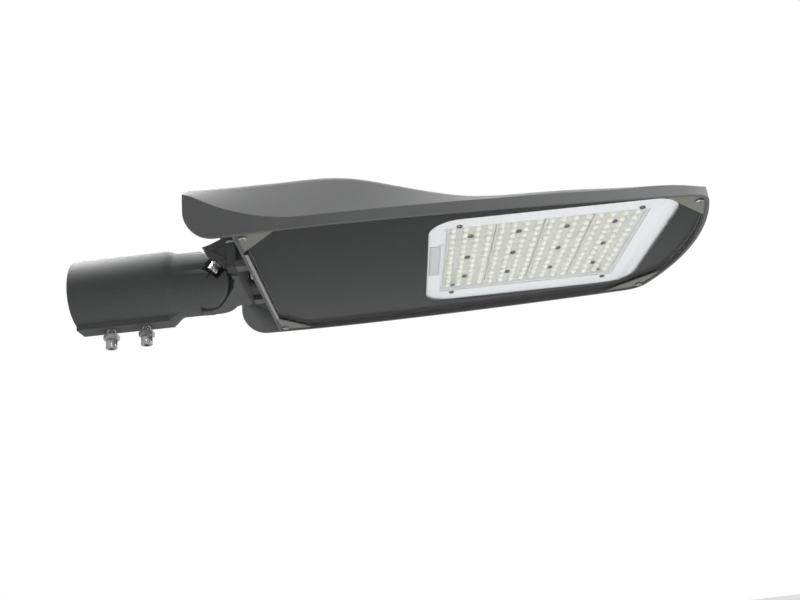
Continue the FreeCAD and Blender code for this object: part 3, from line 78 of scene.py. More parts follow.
def noise(tree, scale, detail=3.0, rough=0.5, stretch=None):
    place = tree.nodes.new("ShaderNodeTexCoord")
    texture = tree.nodes.new("ShaderNodeTexNoise")
    texture.inputs["Scale"].default_value = scale
    texture.inputs["Detail"].default_value = detail
    texture.inputs["Roughness"].default_value = rough
    if stretch:
        mapping = tree.nodes.new("ShaderNodeMapping")
        mapping.inputs["Scale"].default_value = stretch
        tree.links.new(place.outputs["Object"], mapping.inputs["Vector"])
        tree.links.new(mapping.outputs["Vector"], texture.inputs["Vector"])
    else:
        tree.links.new(place.outputs["Object"], texture.inputs["Vector"])
    return texture.outputs["Fac"]


def ramp(tree, source, low, high, start=0.3, end=0.7):
    node = tree.nodes.new("ShaderNodeValToRGB")
    node.color_ramp.elements[0].position = start
    node.color_ramp.elements[0].color = (*low, 1)
    node.color_ramp.elements[1].position = end
    node.color_ramp.elements[1].color = (*high, 1)
    tree.links.new(source, node.inputs["Fac"])
    return node.outputs["Color"]


def spread(tree, source, low, high):
    node = tree.nodes.new("ShaderNodeMapRange")
    node.inputs["To Min"].default_value = low
    node.inputs["To Max"].default_value = high
    tree.links.new(source, node.inputs["Value"])
    return node.outputs["Result"]


def multiply(tree, first, second):
    node = tree.nodes.new("ShaderNodeMixRGB")
    node.blend_type = "MULTIPLY"
    node.inputs["Fac"].default_value = 1.0
    tree.links.new(first, node.inputs["Color1"])
    tree.links.new(second, node.inputs["Color2"])
    return node.outputs["Color"]


def bump(tree, shader, source, height, strength=1.0):
    node = tree.nodes.new("ShaderNodeBump")
    node.inputs["Distance"].default_value = height
    node.inputs["Strength"].default_value = strength
    tree.links.new(source, node.inputs["Height"])
    tree.links.new(node.outputs["Normal"], shader.inputs["Normal"])


def shade(color, factor):
    return tuple(min(1.0, channel * factor) for channel in color)


# Powder coat: fine orange-peel grain with small specks and a slow cloud
def powderCoat(name, color, grain=900.0, rough=0.72):
    material, tree, shader = startMaterial(name)
    speck = noise(tree, grain * 2.2, 2.0, 0.6)
    cloud = noise(tree, 18.0, 3.0)
    dots = ramp(tree, speck, shade(color, 0.8), shade(color, 1.18))
    slow = ramp(tree, cloud, (0.93, 0.93, 0.93), (1.0, 1.0, 1.0))
    tree.links.new(multiply(tree, dots, slow), shader.inputs["Base Color"])
    tree.links.new(spread(tree, speck, rough - 0.06, rough + 0.1), shader.inputs["Roughness"])
    shader.inputs["Specular IOR Level"].default_value = 0.28
    shader.inputs["Sheen Weight"].default_value = 0.22
    shader.inputs["Sheen Roughness"].default_value = 0.35
    bump(tree, shader, noise(tree, grain, 4.0, 0.6), 0.00022, 0.5)
    return material


# Bright plated steel, turned or drawn, with fine streaks
def platedSteel(name, color, rough=0.22, stretch=(1.0, 1.0, 1.0)):
    material, tree, shader = startMaterial(name)
    streak = noise(tree, 700.0, 3.0, 0.5, stretch)
    tree.links.new(ramp(tree, streak, shade(color, 0.72), color), shader.inputs["Base Color"])
    tree.links.new(spread(tree, streak, rough - 0.05, rough + 0.08), shader.inputs["Roughness"])
    shader.inputs["Metallic"].default_value = 1.0
    bump(tree, shader, streak, 0.00003, 0.4)
    return material


# Moulded plastic with a faint flow pattern
def mouldedPlastic(name, color, rough=0.4, grain=350.0, height=0.00004):
    material, tree, shader = startMaterial(name)
    flow = noise(tree, grain, 3.0)
    tree.links.new(ramp(tree, flow, shade(color, 0.96), shade(color, 1.02)), shader.inputs["Base Color"])
    tree.links.new(spread(tree, flow, rough - 0.05, rough + 0.07), shader.inputs["Roughness"])
    bump(tree, shader, flow, height, 0.5)
    return material


def clearGlass(name):
    material, tree, shader = startMaterial(name)
    shader.inputs["Base Color"].default_value = (0.97, 0.98, 0.98, 1)
    shader.inputs["IOR"].default_value = 1.1
    shader.inputs["Transmission Weight"].default_value = 1.0
    shader.inputs["Roughness"].default_value = 0.0
    return material


finishes = {
    "canopy": (0.125, 0.127, 0.128),
    "casting": (0.092, 0.094, 0.096),
    "clip": (0.19, 0.19, 0.165),
    "print": (0.012, 0.012, 0.013),
    "frame": (0.86, 0.865, 0.885),
    "cover": (0.6, 0.61, 0.61),
    "lensBase": (0.6, 0.6, 0.565),
    "lens": (0.9, 0.9, 0.8),
}

powderGrey = powderCoat("powderGrey", finishes["canopy"])
castGrey = powderCoat("castGrey", finishes["casting"], 800.0)
clipPaint = powderCoat("clipPaint", finishes["clip"], 1500.0, 0.45)
brightSteel = platedSteel("brightSteel", (0.4, 0.4, 0.39), 0.24)
darkSteel = platedSteel("darkSteel", (0.17, 0.165, 0.155), 0.25)
railMetal = platedSteel("railMetal", (0.4, 0.4, 0.385), 0.4, (0.1, 1.0, 1.0))
caseMetal = platedSteel("caseMetal", (0.5, 0.51, 0.52), 0.4)
glassClear = clearGlass("glassClear")
printBlack = mouldedPlastic("printBlack", finishes["print"], 0.6, 60.0, 0.00001)
printBlack.node_tree.nodes["Principled BSDF"].inputs["Specular IOR Level"].default_value = 0.05
gasketRubber = mouldedPlastic("gasketRubber", (0.03, 0.03, 0.031), 0.7, 900.0)
boardWhite = mouldedPlastic("boardWhite", (0.8, 0.81, 0.8), 0.35)
phosphor = mouldedPlastic("phosphor", (0.85, 0.72, 0.3), 0.5)
lensBase = mouldedPlastic("lensBase", finishes["lensBase"], 0.2, 200.0)
lensCream = mouldedPlastic("lensCream", finishes["lens"], 0.1, 120.0, 0.00002)
frameWhite = mouldedPlastic("frameWhite", finishes["frame"], 0.45)
coverGrey = mouldedPlastic("coverGrey", finishes["cover"], 0.5)
caseWhite = mouldedPlastic("caseWhite", (0.7, 0.7, 0.67), 0.5)
mouldedBlack = mouldedPlastic("mouldedBlack", (0.03, 0.03, 0.032), 0.45)

nodeFinish = {
    "spigot_sleeve": castGrey, "tilt_bracket": castGrey, "canopy": powderGrey,
    "clamp_screws": brightSteel, "lock_nuts": brightSteel, "tilt_lock_screws": brightSteel,
    "spring_washers": brightSteel, "flat_washers": brightSteel, "bracket_bolts": brightSteel,
    "bracket_washers": brightSteel, "clip_screws": brightSteel, "lens_screws": darkSteel,
    "board_screws": brightSteel, "driver_screws": brightSteel, "device_screws": brightSteel,
    "glass_pane": glassClear, "glass_print": printBlack, "glass_gasket": gasketRubber,
    "glass_rail": railMetal, "clip_near_rear": clipPaint, "clip_far_rear": clipPaint,
    "clip_near_tip": clipPaint, "clip_far_tip": clipPaint, "led_board": boardWhite,
    "led_chips": phosphor, "lens_plate_1": lensBase, "lens_plate_2": lensBase,
    "lens_plate_3": lensBase, "lens_plate_4": lensBase, "light_frame": frameWhite,
    "cable_cover": frameWhite, "driver": caseMetal, "terminal_block": caseWhite,
    "surge_protector": caseWhite, "cable_gland": mouldedBlack, "gland_nut": mouldedBlack,
    "vent_plug": mouldedBlack, "earth_screw": brightSteel,
}
for name, material in nodeFinish.items():
    piece = nodes[name]
    piece.data.materials.clear()
    piece.data.materials.append(material)
print("frame pieces finished")


# Mesh tools
def circle(radius, height, count, wobble=None):
    points = []
    for step in range(count):
        turn = 2 * math.pi * step / count
        reach = radius * (wobble(turn, step) if wobble else 1.0)
        points.append(Vector((reach * math.cos(turn), reach * math.sin(turn), height)))
    return points


def hexRadius(turn):
    side = (turn + math.pi / 6) % (math.pi / 3) - math.pi / 6
    return 1.0 / math.cos(side)


def skin(mesh, loops, capFirst=False, capLast=False, material=0):
    rings = [[mesh.verts.new(point) for point in loop] for loop in loops]
    made = []
    for low, high in zip(rings, rings[1:]):
        for index in range(len(low)):
            after = (index + 1) % len(low)
            made.append(mesh.faces.new((low[index], low[after], high[after], high[index])))
    if capFirst:
        made.append(mesh.faces.new(list(reversed(rings[0]))))
    if capLast:
        made.append(mesh.faces.new(rings[-1]))
    for face in made:
        face.smooth = True
        face.material_index = material
    return rings


def aimed(place, direction):
    turn = Vector((0, 0, 1)).rotation_difference(Vector(direction))
    return Matrix.Translation(Vector(place)) @ turn.to_matrix().to_4x4()


# One piece from copies of a small mesh, each at its own place
def placeCopies(name, single, places, body, slot, materials, *replaced):
    single.normal_update()
    bmesh.ops.recalc_face_normals(single, faces=single.faces)
    shape = bpy.data.meshes.new(name + "Single")
    single.to_mesh(shape)
    whole = bmesh.new()
    for place in places:
        start = len(whole.verts)
        whole.from_mesh(shape)
        whole.verts.ensure_lookup_table()
        bmesh.ops.transform(whole, matrix=place, verts=whole.verts[start:])
    data = bpy.data.meshes.new(name)
    whole.to_mesh(data)
    whole.free()
    single.free()
    bpy.data.meshes.remove(shape)
    return finishPiece(name, data, body, slot, materials, *replaced)


def finishPiece(name, data, body, slot, materials, *replaced):
    data.set_sharp_from_angle(angle=math.radians(32))
    for material in materials:
        data.materials.append(material)
    piece = bpy.data.objects.new(name, data)
    scene.collection.objects.link(piece)
    if replaced:
        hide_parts(*replaced)
    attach(piece, body)
    return piece


# Cylinder-head screw with knurled side, hexagon socket and a cut thread
def socketScrew(headRadius, headLength, keyFlats, threadRadius, shankLength, pitch, knurls):
    single = bmesh.new()
    count = knurls * 3

    def knurl(turn, step):
        return 0.955 if step % 3 == 0 else 1.0

    def sixSided(turn, step):
        return hexRadius(turn)

    half = keyFlats / 2
    skin(single, [
        circle(half, headLength * 0.5, count, sixSided),
        circle(half, 0.25 * mm, count, sixSided),
        circle(half * 1.18, 0.0, count),
        circle(headRadius - 0.9 * mm, 0.0, count),
        circle(headRadius - 0.35 * mm, 0.2 * mm, count),
        circle(headRadius, 0.75 * mm, count, knurl),
        circle(headRadius, headLength - 0.6 * mm, count, knurl),
        circle(headRadius - 0.3 * mm, headLength, count),
        circle(threadRadius, headLength, count),
    ], capFirst=True, capLast=True)
    rows = int(shankLength / pitch * 8)
    depth = 0.55 * pitch

    def threadRing(row):
        height = headLength + (shankLength - 0.3 * mm) * row / rows
        points = []
        for step in range(28):
            turn = 2 * math.pi * step / 28
            phase = (height / pitch - turn / (2 * math.pi)) % 1.0
            reach = threadRadius - depth * abs(2 * phase - 1)
            points.append(Vector((reach * math.cos(turn), reach * math.sin(turn), height)))
        return points

    loops = [threadRing(row) for row in range(rows + 1)]
    loops.append(circle(threadRadius - depth * 1.2, headLength + shankLength, 28))
    skin(single, loops, capFirst=True, capLast=True)
    return single


# Hexagon with turned corners, as a nut with a bore or as a solid head
def chamferedHexagon(flats, height, bore=None):
    single = bmesh.new()
    count = 96
    flatRadius = flats / 2 * 0.96

    outer = []
    for step in range(count):
        turn = 2 * math.pi * step / count
        reach = flats / 2 * hexRadius(turn)
        outer.append(Vector((reach * math.cos(turn), reach * math.sin(turn), 0.0)))
    lower, upper = [], []
    for point in outer:
        drop = max(0.0, (point.length - flatRadius) * 0.55)
        lower.append(Vector((point.x, point.y, drop)))
        upper.append(Vector((point.x, point.y, height - drop)))
    loops = [circle(flatRadius, 0.0, count), lower, upper, circle(flatRadius, height, count)]
    if bore:
        loops.insert(0, circle(bore * 1.12, 0.0, count))
        loops.insert(0, circle(bore, 0.4 * mm, count))
        loops.append(circle(bore * 1.12, height, count))
        loops.append(circle(bore, height - 0.4 * mm, count))
        loops.append(circle(bore, 0.4 * mm, count))
        skin(single, loops)
    else:
        skin(single, loops, capFirst=True, capLast=True)
    return single


# Flat washer with broken edges
def flatWasher(outside, inside, thickness):
    single = bmesh.new()
    soft = 0.2 * mm
    loops = [
        circle(inside, soft, 48), circle(inside + soft, 0.0, 48), circle(outside - soft, 0.0, 48),
        circle(outside, soft, 48), circle(outside, thickness - soft, 48),
        circle(outside - soft, thickness, 48), circle(inside + soft, thickness, 48),
        circle(inside, thickness - soft, 48), circle(inside, soft, 48),
    ]
    skin(single, loops)
    return single


# Split spring washer: a square wire bent round, with a gap and a slight helix
def springWasher(outside, inside, thickness):
    single = bmesh.new()
    steps = 44
    sections = []
    for step in range(steps + 1):
        turn = math.radians(8 + 344 * step / steps)
        lift = thickness * 0.12 * (step / steps - 0.5)
        across = Vector((math.cos(turn), math.sin(turn), 0))
        low, high = 0.12 * thickness + lift, 0.88 * thickness + lift
        sections.append([
            across * inside + Vector((0, 0, low)), across * outside + Vector((0, 0, low)),
            across * outside + Vector((0, 0, high)), across * inside + Vector((0, 0, high)),
        ])
    skin(single, sections, capFirst=True, capLast=True)
    return single


# Pan-head screw with a cross recess; the head hangs below its seat
def panScrew(headRadius, headHeight, shankRadius, shankLength, crossWidth, crossReach):
    single = bmesh.new()
    count = 24
    grid = []
    for row in range(count + 1):
        line = []
        for column in range(count + 1):
            u, v = 2 * column / count - 1, 2 * row / count - 1
            x = u * math.sqrt(1 - v * v / 2)
            y = v * math.sqrt(1 - u * u / 2)
            reach = math.hypot(x, y)
            crown = headHeight * (1 - 0.32 * reach ** 2.6)
            across, along = abs(x) * headRadius, abs(y) * headRadius
            arm = max(min(crossWidth - across, crossReach - along),
                      min(crossWidth - along, crossReach - across))
            depth = 0.55 * headHeight * min(1.0, max(0.0, arm / (0.35 * crossWidth)))
            line.append(single.verts.new((x * headRadius, y * headRadius, -crown + depth)))
        grid.append(line)
    for row in range(count):
        for column in range(count):
            face = single.faces.new((grid[row][column], grid[row + 1][column],
                                     grid[row + 1][column + 1], grid[row][column + 1]))
            face.smooth = True
    rim = (grid[0][:-1] + [line[-1] for line in grid[:-1]] + list(reversed(grid[-1]))[:-1]
           + [line[0] for line in reversed(grid[1:])])
    bottom = [single.verts.new((point.co.x, point.co.y, 0.0)) for point in rim]
    for index in range(len(rim)):
        after = (index + 1) % len(rim)
        face = single.faces.new((rim[index], rim[after], bottom[after], bottom[index]))
        face.smooth = True
    single.faces.new(bottom)
    skin(single, [circle(shankRadius, -0.2 * mm, 20), circle(shankRadius, shankLength, 20)],
         capFirst=True, capLast=True)
    return single


# Clamp screws and their lock nuts under the sleeve
clamp = {
    "places": ((30.5 * mm, 0.0), (63.5 * mm, 0.0)),
    "headEnd": -56.5 * mm, "headRadius": 5.25 * mm, "headLength": 8.5 * mm, "key": 5.0 * mm,
    "thread": 3.95 * mm, "shank": 17.6 * mm, "pitch": 1.25 * mm, "knurls": 36,
    "nutFlats": 13.0 * mm, "nutHeight": 5.0 * mm, "nutFrom": -48.0 * mm,
}
placeCopies(
    "clampScrews",
    socketScrew(clamp["headRadius"], clamp["headLength"], clamp["key"], clamp["thread"],
                clamp["shank"], clamp["pitch"], clamp["knurls"]),
    [Matrix.Translation((x, y, clamp["headEnd"])) for x, y in clamp["places"]],
    "spigot", "steel", [brightSteel], "clamp_screws")
placeCopies(
    "lockNuts",
    chamferedHexagon(clamp["nutFlats"], clamp["nutHeight"], clamp["thread"] + 0.02 * mm),
    [Matrix.Translation((x, y, clamp["nutFrom"])) for x, y in clamp["places"]],
    "spigot", "steel", [brightSteel], "lock_nuts")
print("clamp screws and nuts made")

# Tilt lock screws with spring and flat washers, pointing out from the tilt axis
tiltLock = {
    "axis": (127.0 * mm, -9.0 * mm), "angle": math.radians(50), "sides": (-30.5 * mm, 30.5 * mm),
    "headStart": 9.6 * mm, "headRadius": 5.0 * mm, "headLength": 6.0 * mm, "key": 5.0 * mm,
    "thread": 3.0 * mm, "shank": 16.0 * mm, "pitch": 1.0 * mm, "knurls": 34,
    "springStart": 15.6 * mm, "flatStart": 17.0 * mm, "wall": 1.4 * mm,
    "springRadius": 5.5 * mm, "flatRadius": 6.5 * mm, "bore": 3.15 * mm,
}


def lockPlaces(distance):
    way = Vector((math.cos(tiltLock["angle"]), 0.0, math.sin(tiltLock["angle"])))
    start = Vector((tiltLock["axis"][0], 0.0, tiltLock["axis"][1])) + way * distance
    return [aimed(start + Vector((0.0, side, 0.0)), way) for side in tiltLock["sides"]]


placeCopies(
    "tiltLockScrews",
    socketScrew(tiltLock["headRadius"], tiltLock["headLength"], tiltLock["key"], tiltLock["thread"],
                tiltLock["shank"], tiltLock["pitch"], tiltLock["knurls"]),
    lockPlaces(tiltLock["headStart"]), "head", "steel", [brightSteel], "tilt_lock_screws")
placeCopies(
    "springWashers", springWasher(tiltLock["springRadius"], tiltLock["bore"], tiltLock["wall"]),
    lockPlaces(tiltLock["springStart"]), "head", "steel", [brightSteel], "spring_washers")
placeCopies(
    "flatWashers", flatWasher(tiltLock["flatRadius"], tiltLock["bore"], tiltLock["wall"]),
    lockPlaces(tiltLock["flatStart"]), "head", "steel", [brightSteel], "flat_washers")
print("tilt lock made")

# Cross-recess screws of the clips, the lens plates and the board, and the earth screw
smallScrews = {
    "clipPlaces": [(x, side * y) for x, y in ((179.0, 118.5), (567.0, 98.5)) for side in (-1, 1)],
    "clipSeat": -12.7, "clipHead": 3.5, "clipHeight": 2.4, "clipShank": 7.9, "clipCross": (0.55, 2.1),
    "lensColumns": 4, "lensRows": (-48.8, 0.0, 48.8), "lensSeat": 0.0,
    "boardReach": (77.7, 73.2), "boardSeat": 1.5,
    "head": 2.7, "height": 1.6, "shank": 3.9, "cross": (0.42, 1.6),
    "arrayMiddle": 441.0, "platePitch": 44.4,
    "framePlaces": [(x, side * 81.0) for x in (362.0, 524.0) for side in (-1, 1)], "frameSeat": -4.1,
    "earth": (169.0, -14.0, -2.7), "earthFlats": 7.0, "earthHeight": 2.4,
}


def seats(places, height):
    return [Matrix.Translation((x * mm, y * mm, height * mm)) for x, y in places]


def smallPan(prefix, shank):
    width, reach = smallScrews["clipCross" if prefix else "cross"]
    head = smallScrews["clipHead" if prefix else "head"]
    height = smallScrews["clipHeight" if prefix else "height"]
    return panScrew(head * mm, height * mm, head * 0.5 * mm, shank * mm, width * mm, reach * mm)


lensPlaces = [
    (smallScrews["arrayMiddle"] + (column - 1.5) * smallScrews["platePitch"], y)
    for column in range(smallScrews["lensColumns"]) for y in smallScrews["lensRows"]
]
boardPlaces = [
    (smallScrews["arrayMiddle"] + across * smallScrews["boardReach"][0], up * smallScrews["boardReach"][1])
    for across in (-1, 1) for up in (-1, 1)
]
placeCopies("clipScrews", smallPan(True, smallScrews["clipShank"]),
            seats(smallScrews["clipPlaces"], smallScrews["clipSeat"]),
            "head", "steel", [brightSteel], "clip_screws")
placeCopies("lensScrews", smallPan(False, smallScrews["shank"]), seats(lensPlaces, smallScrews["lensSeat"]),
            "head", "steel", [darkSteel], "lens_screws")
placeCopies("boardScrews", smallPan(False, smallScrews["shank"] - 1.5),
            seats(boardPlaces, smallScrews["boardSeat"]), "head", "steel", [darkSteel], "board_screws")
placeCopies("frameScrews", smallPan(False, smallScrews["shank"] - 1.5),
            seats(smallScrews["framePlaces"], smallScrews["frameSeat"]), "head", "steel", [darkSteel])
placeCopies("earthScrew", chamferedHexagon(smallScrews["earthFlats"] * mm, smallScrews["earthHeight"] * mm),
            [aimed(Vector(smallScrews["earth"]) * mm, (-1, 0, 0))],
            "head", "steel", [brightSteel], "earth_screw")
print("small screws made")

# Lens plates: a base with broken edges, notches for the board screws, and 48 oval lenses each
lensPlate = {
    "along": 4, "across": 12, "pitch": (11.1, 12.2), "gap": 0.6, "bottom": 0.0, "top": 1.5, "edge": 0.35,
    "notch": 3.1, "squeeze": 0.72, "segments": 20,
    "profile": ((4.75, -0.05), (4.7, 0.1), (4.55, 0.7), (4.25, 1.4), (3.7, 2.15), (2.9, 2.75),
                (1.9, 3.1), (0.9, 3.14), (0.25, 2.98)),
}


def plateOutline(low, high, notches, inset):
    left, right = low[0] + inset, high[0] - inset
    near, far = low[1] + inset, high[1] - inset
    radius = lensPlate["notch"] + inset
    points = []
    for end, first, last, fromAngle in ((near, left, right, 180), (far, right, left, 0)):
        points.append((first, end))
        spots = [x for x in notches if left < x < right]
        for spot in sorted(spots, reverse=first > last):
            for step in range(13):
                turn = math.radians(fromAngle - 15 * step)
                points.append((spot + radius * math.cos(turn), end + radius * math.sin(turn)))
        points.append((last, end))
    return points


def addLens(mesh, x, y):
    loops = []
    for radius, drop in lensPlate["profile"]:
        ring = circle(radius * mm, -drop * mm, lensPlate["segments"])
        loops.append([Vector((point.x * lensPlate["squeeze"] + x, point.y + y, point.z)) for point in ring])
    skin(mesh, loops, capLast=True, material=1)


def makeLensPlate(number):
    nodeName = f"lens_plate_{number}"
    pitchX, pitchY = (value * mm for value in lensPlate["pitch"])
    startX = smallScrews["arrayMiddle"] * mm + (4 * number - 12) * pitchX + lensPlate["gap"] / 2 * mm
    endX = startX + 4 * pitchX - lensPlate["gap"] * mm
    halfY = 6 * pitchY
    low, high = (startX / mm, -halfY / mm), (endX / mm, halfY / mm)
    notches = [x for x, y in boardPlaces if y < 0]
    mesh = bmesh.new()
    loops = []
    for inset, height in ((0.0, lensPlate["top"]), (0.0, lensPlate["bottom"] + lensPlate["edge"]),
                          (lensPlate["edge"], lensPlate["bottom"])):
        loops.append([Vector((x * mm, y * mm, height * mm))
                      for x, y in plateOutline(low, high, notches, inset)])
    skin(mesh, loops, capFirst=True, capLast=True)
    for column in range(lensPlate["along"]):
        for row in range(lensPlate["across"]):
            addLens(mesh, startX - lensPlate["gap"] / 2 * mm + (column + 0.5) * pitchX,
                    -halfY + (row + 0.5) * pitchY)
    placeCopies(f"lensPlate{number}", mesh, [Matrix.Identity(4)], "head", "lens_clear",
                [lensBase, lensCream], nodeName)


for number in range(1, 5):
    makeLensPlate(number)
print("lens plates made")

# Castings and clips with their edges rounded
castings = {
    "spigot_sleeve": {"name": "sleeveCasting", "body": "spigot", "slot": "cast_grey",
                      "width": 0.7, "finish": castGrey},
    "tilt_bracket": {"name": "bracketCasting", "body": "head", "slot": "cast_grey",
                     "width": 0.7, "finish": castGrey},
    "clip_near_rear": {"name": "clipNearRear", "body": "head", "slot": "clip_grey",
                       "width": 0.3, "finish": clipPaint},
    "clip_far_rear": {"name": "clipFarRear", "body": "head", "slot": "clip_grey",
                      "width": 0.3, "finish": clipPaint},
    "clip_near_tip": {"name": "clipNearTip", "body": "head", "slot": "clip_grey",
                      "width": 0.3, "finish": clipPaint},
    "clip_far_tip": {"name": "clipFarTip", "body": "head", "slot": "clip_grey",
                     "width": 0.3, "finish": clipPaint},
    "light_frame": {"name": "lightFrame", "body": "head", "slot": "frame_white",
                    "width": 0.5, "finish": frameWhite},
    "cable_cover": {"name": "cableCover", "body": "head", "slot": "frame_white",
                    "width": 0.5, "finish": coverGrey},
    "driver": {"name": "driverCase", "body": "head", "slot": "device_metal",
               "width": 0.8, "finish": caseMetal},
}


def roundedCasting(nodeName, look):
    mesh = bmesh.new()
    mesh.from_mesh(nodes[nodeName].data)
    bmesh.ops.remove_doubles(mesh, verts=mesh.verts, dist=0.004 * mm)
    bmesh.ops.dissolve_limit(mesh, angle_limit=math.radians(0.6), verts=mesh.verts, edges=mesh.edges)
    for face in mesh.faces:
        face.smooth = True
    data = bpy.data.meshes.new(look["name"])
    mesh.to_mesh(data)
    mesh.free()
    data.materials.clear()
    piece = finishPiece(look["name"], data, look["body"], look["slot"], [look["finish"]], nodeName)
    rounding = piece.modifiers.new("roundedEdges", "BEVEL")
    rounding.width = look["width"] * mm
    rounding.segments = 2
    rounding.limit_method = "ANGLE"
    rounding.angle_limit = math.radians(38)
    rounding.use_clamp_overlap = True
    rounding.harden_normals = True


for nodeName, look in castings.items():
    roundedCasting(nodeName, look)
print("castings rounded")

# Moulded skirt between the light frame and the board, and the ridge beside the cable cover
skirt = {
    "middle": (441.0, 0.0), "reach": (91.9, 77.4), "corner": 1.6,
    "profile": ((0.0, -3.9), (0.15, -2.4), (0.75, -2.1), (1.0, -0.4), (1.35, 1.4)),
    "ridge": ((346.7, -46.0, 29.0), (343.6, -46.0, -44.2)), "ridgeWidth": 1.7, "ridgeTop": -4.0,
    "ridgeProfile": ((0.0, 0.0), (0.0, 0.7), (0.35, 1.15), (0.7, 1.3)),
}


def roundedRectangle(reachX, reachY, corner, height):
    middleX, middleY = skirt["middle"]
    points = []
    for cornerX, cornerY, start in ((1, 1, 0), (-1, 1, 90), (-1, -1, 180), (1, -1, 270)):
        for step in range(7):
            turn = math.radians(start + 15 * step)
            points.append(Vector((
                (middleX + cornerX * (reachX - corner) + corner * math.cos(turn)) * mm,
                (middleY + cornerY * (reachY - corner) + corner * math.sin(turn)) * mm,
                height * mm)))
    return points


def makeSkirt():
    mesh = bmesh.new()
    loops = [roundedRectangle(skirt["reach"][0] - inset, skirt["reach"][1] - inset, skirt["corner"], height)
             for inset, height in skirt["profile"]]
    skin(mesh, loops)
    placeCopies("boardSkirt", mesh, [Matrix.Identity(4)], "head", "frame_white", [frameWhite])


def addRidge(mesh, startX, nearY, endX, farY):
    loops = []
    for inset, drop in skirt["ridgeProfile"]:
        height = (skirt["ridgeTop"] - drop) * mm
        loops.append([Vector((x * mm, y * mm, height)) for x, y in (
            (startX + inset, nearY + inset), (endX - inset, nearY + inset),
            (endX - inset, farY - inset), (startX + inset, farY - inset))])
    skin(mesh, loops, capFirst=True, capLast=True)


def makeRidge():
    mesh = bmesh.new()
    longLeg, shortLeg = skirt["ridge"]
    addRidge(mesh, longLeg[0], longLeg[1], longLeg[0] + skirt["ridgeWidth"], longLeg[2])
    addRidge(mesh, shortLeg[0], shortLeg[1], longLeg[0] + 0.2, shortLeg[2])
    placeCopies("coverRidge", mesh, [Matrix.Identity(4)], "head", "frame_white", [frameWhite])


makeSkirt()
makeRidge()
print("skirt and ridge made")

# Printed border, a hair behind the inner face of the glass so that the two never share a face
printLayer = {"glassFace": -7.2, "faceGap": 0.04}


def makePrint():
    mesh = bmesh.new()
    mesh.from_mesh(nodes["glass_print"].data)
    lowest = (printLayer["glassFace"] + printLayer["faceGap"]) * mm
    for point in mesh.verts:
        if point.co.z < lowest:
            point.co.z = lowest
    placeCopies("printedBorder", mesh, [Matrix.Identity(4)], "head", "black_print",
                [printBlack], "glass_print")


makePrint()

# Run-out of the screw rib: its end slopes up into the neck
ribEnd = {
    "from": 86.5, "to": 98.5, "low": -38.0, "high": -30.2, "root": -27.0,
    "half": 10.0, "narrowing": 1.6, "soft": 1.2, "steps": 10,
}


def makeRibEnd():
    mesh = bmesh.new()
    loops = []
    for step in range(ribEnd["steps"] + 1):
        share = step / ribEnd["steps"]
        x = ribEnd["from"] + (ribEnd["to"] - ribEnd["from"]) * share
        eased = share * share * (3 - 2 * share)
        low = ribEnd["low"] + (ribEnd["high"] - ribEnd["low"]) * eased
        half = ribEnd["half"] - ribEnd["narrowing"] * eased
        soft = ribEnd["soft"]
        outline = [(-half, ribEnd["root"]), (-half, low + soft), (-half + 0.3 * soft, low + 0.3 * soft),
                   (-half + soft, low), (half - soft, low), (half - 0.3 * soft, low + 0.3 * soft),
                   (half, low + soft), (half, ribEnd["root"])]
        loops.append([Vector((x * mm, y * mm, z * mm)) for y, z in outline])
    skin(mesh, loops, capFirst=True, capLast=True)
    placeCopies("ribRunOut", mesh, [Matrix.Identity(4)], "spigot", "cast_grey", [castGrey])


makeRibEnd()
print("print and rib end made")

# Floor, white surroundings and studio lamps
studio = {
    "floorZ": -1.1,
    "floorSize": 30.0,
    "floorColor": (0.8, 0.8, 0.8),
    "floorShare": 0.6,  # how much of the floor's tone is plain white to the camera
    "ambient": 0.38,
    "key": {"place": (-0.3, 0.1, 0.5), "aim": (0.15, 0.0, 0.0), "size": 0.45, "power": 12.0},
    "sleeve": {"place": (-0.1, 0.0, 0.32), "aim": (0.03, 0.0, 0.03), "size": 0.2, "power": 1.8},
    "sky": {"place": (0.35, 0.6, 1.4), "aim": (0.3, 0.0, 0.0), "size": 1.6, "power": 1.5},
    "tip": {"place": (0.95, -0.42, 0.1), "aim": (0.58, -0.05, 0.0), "size": 0.3, "power": 5.0},
    "below": {"place": (0.47, 0.0, -0.42), "aim": (0.45, 0.0, 0.0), "size": 0.35, "power": 0.85},
}


def whiteForCamera(tree):
    rays = tree.nodes.new("ShaderNodeLightPath")
    first = tree.nodes.new("ShaderNodeMath")
    first.operation = "MAXIMUM"
    tree.links.new(rays.outputs["Is Camera Ray"], first.inputs[0])
    tree.links.new(rays.outputs["Is Glossy Ray"], first.inputs[1])
    second = tree.nodes.new("ShaderNodeMath")
    second.operation = "MAXIMUM"
    tree.links.new(first.outputs[0], second.inputs[0])
    tree.links.new(rays.outputs["Is Transmission Ray"], second.inputs[1])
    return second.outputs[0]


def addWorld(ambient):
    world = bpy.data.worlds.new("paleRoom")
    world.use_nodes = True
    tree = world.node_tree
    tree.nodes.clear()
    output = tree.nodes.new("ShaderNodeOutputWorld")
    dim = tree.nodes.new("ShaderNodeBackground")
    dim.inputs["Strength"].default_value = ambient
    dim.inputs["Color"].default_value = (1, 1, 1, 1)
    white = tree.nodes.new("ShaderNodeBackground")
    white.inputs["Strength"].default_value = 1.0
    white.inputs["Color"].default_value = (1, 1, 1, 1)
    mix = tree.nodes.new("ShaderNodeMixShader")
    tree.links.new(whiteForCamera(tree), mix.inputs["Fac"])
    tree.links.new(dim.outputs[0], mix.inputs[1])
    tree.links.new(white.outputs[0], mix.inputs[2])
    tree.links.new(mix.outputs[0], output.inputs["Surface"])
    scene.world = world


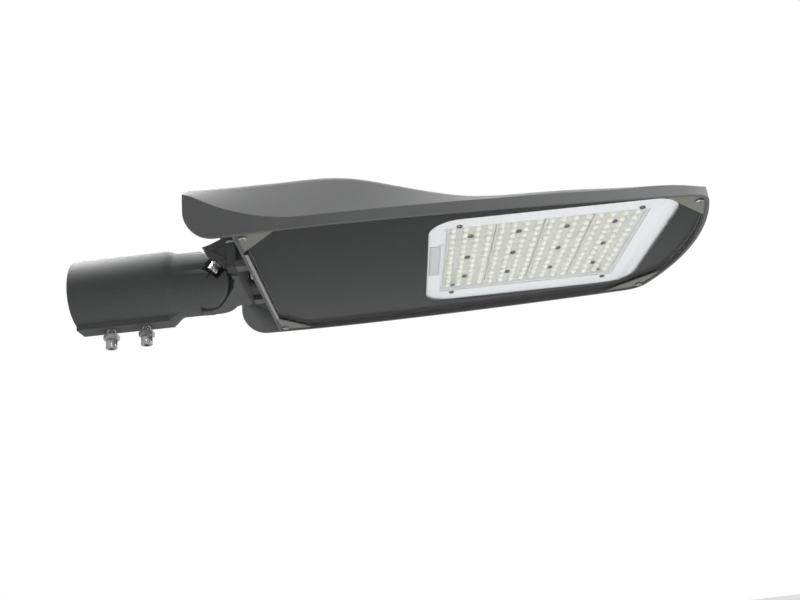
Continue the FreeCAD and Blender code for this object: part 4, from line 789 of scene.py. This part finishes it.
def addLamp(name, spot):
    data = bpy.data.lights.new(name, "AREA")
    data.shape = "SQUARE"
    data.size = spot["size"]
    data.energy = spot["power"]
    lamp = bpy.data.objects.new(name, data)
    lamp.location = spot["place"]
    aim = Vector(spot["aim"]) - Vector(spot["place"])
    lamp.rotation_euler = aim.to_track_quat("-Z", "Y").to_euler()
    lamp.visible_camera = False
    scene.collection.objects.link(lamp)


# The floor shows only from above, and is paler to the camera than its own diffuse colour
def addFloor(z, reach, color, whiteShare):
    half = reach / 2
    corners = [(-half, -half, z), (half, -half, z), (half, half, z), (-half, half, z)]
    mesh = bpy.data.meshes.new("studioFloor")
    mesh.from_pydata(corners, [], [(0, 1, 2, 3)])
    floor = bpy.data.objects.new("studioFloor", mesh)
    scene.collection.objects.link(floor)
    material, tree, shader = startMaterial("paleFloor")
    shader.inputs["Base Color"].default_value = (*color, 1)
    shader.inputs["Roughness"].default_value = 0.9
    glow = tree.nodes.new("ShaderNodeEmission")
    glow.inputs["Color"].default_value = (1, 1, 1, 1)
    share = tree.nodes.new("ShaderNodeMath")
    share.operation = "MULTIPLY"
    share.inputs[1].default_value = whiteShare
    tree.links.new(whiteForCamera(tree), share.inputs[0])
    lit = tree.nodes.new("ShaderNodeMixShader")
    tree.links.new(share.outputs[0], lit.inputs["Fac"])
    tree.links.new(shader.outputs[0], lit.inputs[1])
    tree.links.new(glow.outputs[0], lit.inputs[2])
    sides = tree.nodes.new("ShaderNodeNewGeometry")
    clear = tree.nodes.new("ShaderNodeBsdfTransparent")
    oneSided = tree.nodes.new("ShaderNodeMixShader")
    tree.links.new(sides.outputs["Backfacing"], oneSided.inputs["Fac"])
    tree.links.new(lit.outputs[0], oneSided.inputs[1])
    tree.links.new(clear.outputs[0], oneSided.inputs[2])
    tree.links.new(oneSided.outputs[0], tree.nodes["Material Output"].inputs["Surface"])
    mesh.materials.append(material)


addWorld(studio["ambient"])
addLamp("keyLamp", studio["key"])
addLamp("sleeveLamp", studio["sleeve"])
addLamp("skyLamp", studio["sky"])
addLamp("tipLamp", studio["tip"])
addLamp("belowLamp", studio["below"])
addFloor(studio["floorZ"], studio["floorSize"], studio["floorColor"], studio["floorShare"])
scene.view_settings.view_transform = "Standard"
print("studio ready")
